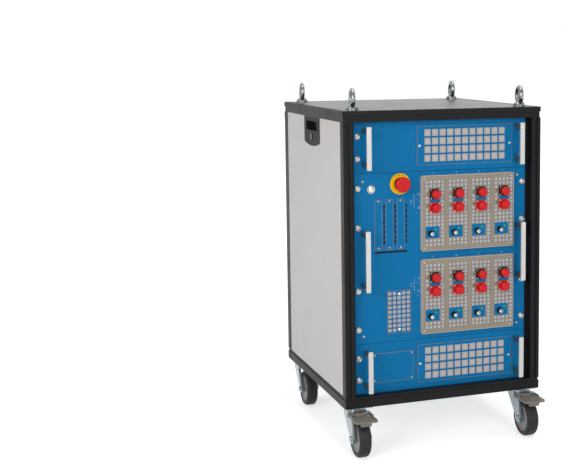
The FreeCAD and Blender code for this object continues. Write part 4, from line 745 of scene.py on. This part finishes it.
# %% Two printed arcs on the yellow ring of the emergency stop
ring_low, ring_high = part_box("estop_ring")
ring_x, ring_z = middle_of(ring_low, ring_high)
PRINT_LIFT = 0.12
ring_grids = [arc_strip(spot(ring_x, ring_z, ring_low.y), 23.4, start, sweep, PRINT_LIFT, even)
              for start, sweep in ((118, -56), (284, -28))]
dress(add_piece("ring_arcs", ring_grids, closed=False), "print_dark")

# %% [markdown]
# The channels carry plain numbers printed in white. Text could be drawn in a texture, but that
# blurs close up. A font curve turned into a mesh stays sharp and sits a hair above the paint.

# %% Printed channel numbers
def printed(name, text, height, at):
    """A line of white print of that height in millimetres, centred on a point and facing the front."""
    curve = bpy.data.curves.new(name, "FONT")
    curve.body = text
    curve.size = height * MM
    curve.align_x = "CENTER"
    curve.align_y = "CENTER"
    curve.resolution_u = 4
    holder = bpy.data.objects.new(f"{name}_curve", curve)
    bpy.context.scene.collection.objects.link(holder)
    bpy.context.view_layer.update()
    mesh = bpy.data.meshes.new_from_object(holder.evaluated_get(bpy.context.evaluated_depsgraph_get()))
    bpy.data.objects.remove(holder)
    mesh.transform(Matrix.Translation(at) @ Matrix.Rotation(math.pi / 2, 4, "X"))
    mesh.materials.clear()
    mesh.materials.append(materials["print_white"])
    piece = bpy.data.objects.new(name, mesh)
    bpy.context.scene.collection.objects.link(piece)
    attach(piece, "cabinet")
    return piece


on_panel = face - PRINT_LIFT * MM
columns_x = sorted({round(float(low[0] + high[0]) / 2, 4) for low, high in black_boxes})
for row, (low, high) in enumerate(plate_boxes):
    for column, x in enumerate(columns_x):
        number = str(1 + column + row * len(columns_x))
        printed(f"channel_number_{number}", number, 6, (x, on_panel, high.z + 4.6 * MM))
print("channels numbered:", len(columns_x) * len(plate_boxes))

# %% [markdown]
# Left of every socket one hole of the mesh is blank and carries its polarity, a dark plus or
# minus. Beside each plate stands a small printed scheme: a line, two hooks, dots and the two bars
# that stand for direct current. All of them are flat bars and arcs, a tenth of a millimetre proud.

# %% Blanks in the mesh, with their polarity
SHEET = [(1, 0), (1, 0.14), (0.97, 0.2), (0, 0.2)]
FLAT = [(1, 0), (0, 0)]
BLANK_SIDE = 22.2 * MM
BLANK_RISES = (51.5 * MM, 20.6 * MM)


def bar(x, z, width, height, y=on_panel):
    """A flat printed bar, its size in millimetres."""
    return rounded_plate((x, y, z), width, height, min(width, height) * 0.2, FLAT, steps=2)


blanks = []
signs = []
on_blank = plate_face - 0.3 * MM
for low, high in plate_boxes:
    middle = (low.z + high.z) / 2
    for x in columns_x:
        for rise in BLANK_RISES:
            blanks.append(rounded_plate((x - BLANK_SIDE, plate_face, middle + rise), 8.8, 8.8, 0.6, SHEET))
            signs.append(bar(x - BLANK_SIDE, middle + rise, 4.0, 1.1, on_blank))
        plus_z = middle + BLANK_RISES[1]
        signs += [bar(x - BLANK_SIDE, plus_z + side * 1.3 * MM, 1.1, 1.5, on_blank) for side in (-1, 1)]
dress(add_piece("mesh_blanks", blanks), "plate_steel")
dress(add_piece("polarity_signs", signs), "print_dark")

# %% The printed scheme beside each plate
HOOK_RISES = (50.3 * MM, 15.6 * MM)
strips = []
bars = []
for low, high in plate_boxes:
    middle = (low.z + high.z) / 2
    left = low.x
    for rise in HOOK_RISES:
        strips.append(arc_strip((left - 3.2 * MM, on_panel, middle + rise), 2.4, 270, -180, 0, even))
        bars += [bar(left - 1.4 * MM, middle + rise + side * 2.4 * MM, 3.6, 0.7) for side in (-1, 1)]
    bars.append(bar(left - 16.7 * MM, middle + 32.7 * MM, 0.5, 34))
    bars += [bar(left - 25.3 * MM, middle + rise * MM, 3.8, 1.0) for rise in (35.6, 29.7)]
    bars += [bar(left - side * MM, middle + rise * MM, 1.3, 1.3)
             for side, rise in ((7.6, 37.3), (2.4, 32.8), (7.8, 3.1))]
dress(add_piece("scheme_hooks", strips, closed=False), "print_white")
dress(add_piece("scheme_bars", bars), "print_white")

# %% [markdown]
# A wheel is CAD already: hub, web, rim and tyre. The hub's disc still wants the raised ring that a
# mould leaves near its edge and the small step round the bore. They are thin turned surfaces that
# sit on the disc, whose face is found from the widest points of the hub outside the boss.

# %% Rings on the hubs' discs
outer_ring = [(31.2, -0.1), (31.0, 0.55), (30.4, 0.8), (29.8, 0.55), (29.6, -0.1)]
inner_ring = [(17.6, -0.1), (17.4, 0.35), (16.9, 0.5), (16.4, 0.35), (16.2, -0.1)]
DISC_START, DISC_END = 12 * MM, 30 * MM
for name in [body for body in frame["bodies"] if body.startswith("wheel_")]:
    corner = name.removeprefix("wheel_")
    low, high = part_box(f"wheel_hub_{corner}")
    centre = np.array([(low[axis] + high[axis]) / 2 for axis in range(3)])
    points = np.array([vertex.co for vertex in nodes[f"wheel_hub_{corner}"].data.vertices]) - centre
    radius = np.hypot(points[:, 1], points[:, 2])
    disc = points[(radius > DISC_END) & (radius < 34 * MM), 0]
    disc_face = np.abs(disc).min()
    trim = []
    for facing, sign in ((TO_RIGHT, 1), (TO_LEFT, -1)):
        at = centre + np.array([sign * disc_face, 0, 0])
        trim += [turned(ring, at, facing, steps=48) for ring in (outer_ring, inner_ring)]
    dress(add_piece(f"hub_rings_{corner}", trim), "hub_plastic", name)
print("disc face at", round(disc_face / MM, 2), "mm from the wheel's middle")

# %% [markdown]
# The photograph is taken from the front left, a little above the cabinet, through a long lens. The
# cabinet stands to the right of the picture's middle. Turning the camera to put it there would
# change how its lines converge, so the lens is shifted instead, as when a picture is cropped.

# %% Camera
IMAGE_WIDTH = 568
IMAGE_HEIGHT = 471
FOCAL_PIXELS = 1190
CENTRE_X, CENTRE_Y = 415, 184
YAW, PITCH, ROLL = (math.radians(angle) for angle in (20.93, 6.64, -0.23))
camera_data = bpy.data.cameras.new("camera")
camera_data.sensor_width = 36
camera_data.lens = FOCAL_PIXELS / IMAGE_WIDTH * camera_data.sensor_width
camera_data.shift_x = (IMAGE_WIDTH / 2 - CENTRE_X) / IMAGE_WIDTH
camera_data.shift_y = (CENTRE_Y - IMAGE_HEIGHT / 2) / IMAGE_WIDTH
camera = bpy.data.objects.new("camera", camera_data)
forward = np.array([math.sin(YAW) * math.cos(PITCH), math.cos(YAW) * math.cos(PITCH), -math.sin(PITCH)])
level = np.array([math.cos(YAW), -math.sin(YAW), 0])
right = level * math.cos(ROLL) + np.cross(level, forward) * math.sin(ROLL)
up = np.cross(right, forward)
camera.matrix_world = Matrix(np.stack([right, up, -forward], 1).tolist()).to_4x4()
camera.location = (-1.171, -3.0985, 1.059)
bpy.context.scene.collection.objects.link(camera)
bpy.context.scene.camera = camera
print("lens", round(camera_data.lens, 1), "mm")

# %% [markdown]
# The picture has a white studio round the cabinet. The world is plain white to the camera and in
# reflections, and a soft grey as a light, so the paint isn't washed out. The floor is pale and
# keeps the shadow. Seen directly it also glows a little, by as much as it lacks to be white, and
# more further out, so that it meets the white world with no horizon.

# %% White to the camera and in reflections
def seen_directly(tree):
    """1 for rays from the camera, or by way of a mirror or glass, and 0 for rays that carry light."""
    path = tree.nodes.new("ShaderNodeLightPath")
    direct = math_node(tree, "MAXIMUM", path.outputs["Is Camera Ray"], path.outputs["Is Glossy Ray"])
    return math_node(tree, "MAXIMUM", direct, path.outputs["Is Transmission Ray"])


# %% Floor
FLOOR = 14.0
FLOOR_GLOW = 0.56
NEAR, FAR = 1.3, 3.2
floor_mesh = bpy.data.meshes.new("floor")
floor_corners = [(-FLOOR, -FLOOR, 0), (FLOOR, -FLOOR, 0), (FLOOR, FLOOR, 0), (-FLOOR, FLOOR, 0)]
floor_mesh.from_pydata(floor_corners, [], [(0, 1, 2, 3)])
floor = bpy.data.objects.new("floor", floor_mesh)
bpy.context.scene.collection.objects.link(floor)
floor_material = bpy.data.materials.new("studio_floor")
floor_material.use_nodes = True
tree = floor_material.node_tree
shader = tree.nodes["Principled BSDF"]
shader.inputs["Base Color"].default_value = (0.86, 0.86, 0.86, 1)
shader.inputs["Roughness"].default_value = 0.8
shader.inputs["Specular IOR Level"].default_value = 0
shader.inputs["Emission Color"].default_value = (1, 1, 1, 1)
distance = tree.nodes.new("ShaderNodeVectorMath")
distance.operation = "LENGTH"
tree.links.new(tree.nodes.new("ShaderNodeTexCoord").outputs["Object"], distance.inputs[0])
spread = tree.nodes.new("ShaderNodeMapRange")
for label, value in (("From Min", NEAR), ("From Max", FAR), ("To Min", FLOOR_GLOW), ("To Max", 1.0)):
    spread.inputs[label].default_value = value
tree.links.new(distance.outputs["Value"], spread.inputs["Value"])
glow = math_node(tree, "MULTIPLY", spread.outputs["Result"], seen_directly(tree))
tree.links.new(glow, shader.inputs["Emission Strength"])
floor_mesh.materials.append(floor_material)
print("floor", 2 * FLOOR, "m wide, glowing from", FLOOR_GLOW, "near to 1 at", FAR, "m")

# %% World
WORLD_LIGHT = 0.58
world = bpy.data.worlds.new("studio")
bpy.context.scene.world = world
world.use_nodes = True
tree = world.node_tree
background = tree.nodes["Background"]
background.inputs["Color"].default_value = (0.66, 0.67, 0.68, 1)
background.inputs["Strength"].default_value = WORLD_LIGHT
white = tree.nodes.new("ShaderNodeBackground")
white.inputs["Color"].default_value = (1, 1, 1, 1)
blend = tree.nodes.new("ShaderNodeMixShader")
tree.links.new(seen_directly(tree), blend.inputs["Fac"])
tree.links.new(background.outputs[0], blend.inputs[1])
tree.links.new(white.outputs[0], blend.inputs[2])
tree.links.new(blend.outputs[0], tree.nodes["World Output"].inputs["Surface"])
print("world lights at", WORLD_LIGHT)


# %% [markdown]
# Three soft lamps do the rest. The key stands straight ahead, so the shadow of each handle falls
# right behind it. One on the left lights the side panel, and one above lifts the eyes and the
# cover. They are square areas, because a point lamp would draw hard shadows.

# %% Lamps
def lamp(name, place, target, size, power):
    """A square area lamp at a place, aimed at a target."""
    data = bpy.data.lights.new(name, "AREA")
    data.size = size
    data.energy = power
    light = bpy.data.objects.new(name, data)
    bpy.context.scene.collection.objects.link(light)
    aim = np.asarray(target) - np.asarray(place)
    back = -aim / np.linalg.norm(aim)
    side = np.cross((0, 0, 1), back)
    side = side / np.linalg.norm(side)
    light.matrix_world = Matrix(np.stack([side, np.cross(back, side), back], 1).tolist()).to_4x4()
    light.location = place
    print(name, "lamp:", power, "W")


CENTRE = (0, 0, 0.5)
lamp("key", (0.1, -4.0, 1.7), CENTRE, 1.5, 38)
lamp("left", (-3.0, -2.6, 1.9), CENTRE, 2.0, 60)
lamp("top", (0.2, 0.4, 3.6), CENTRE, 2.4, 42)

# %% View transform
bpy.context.scene.view_settings.view_transform = "Standard"
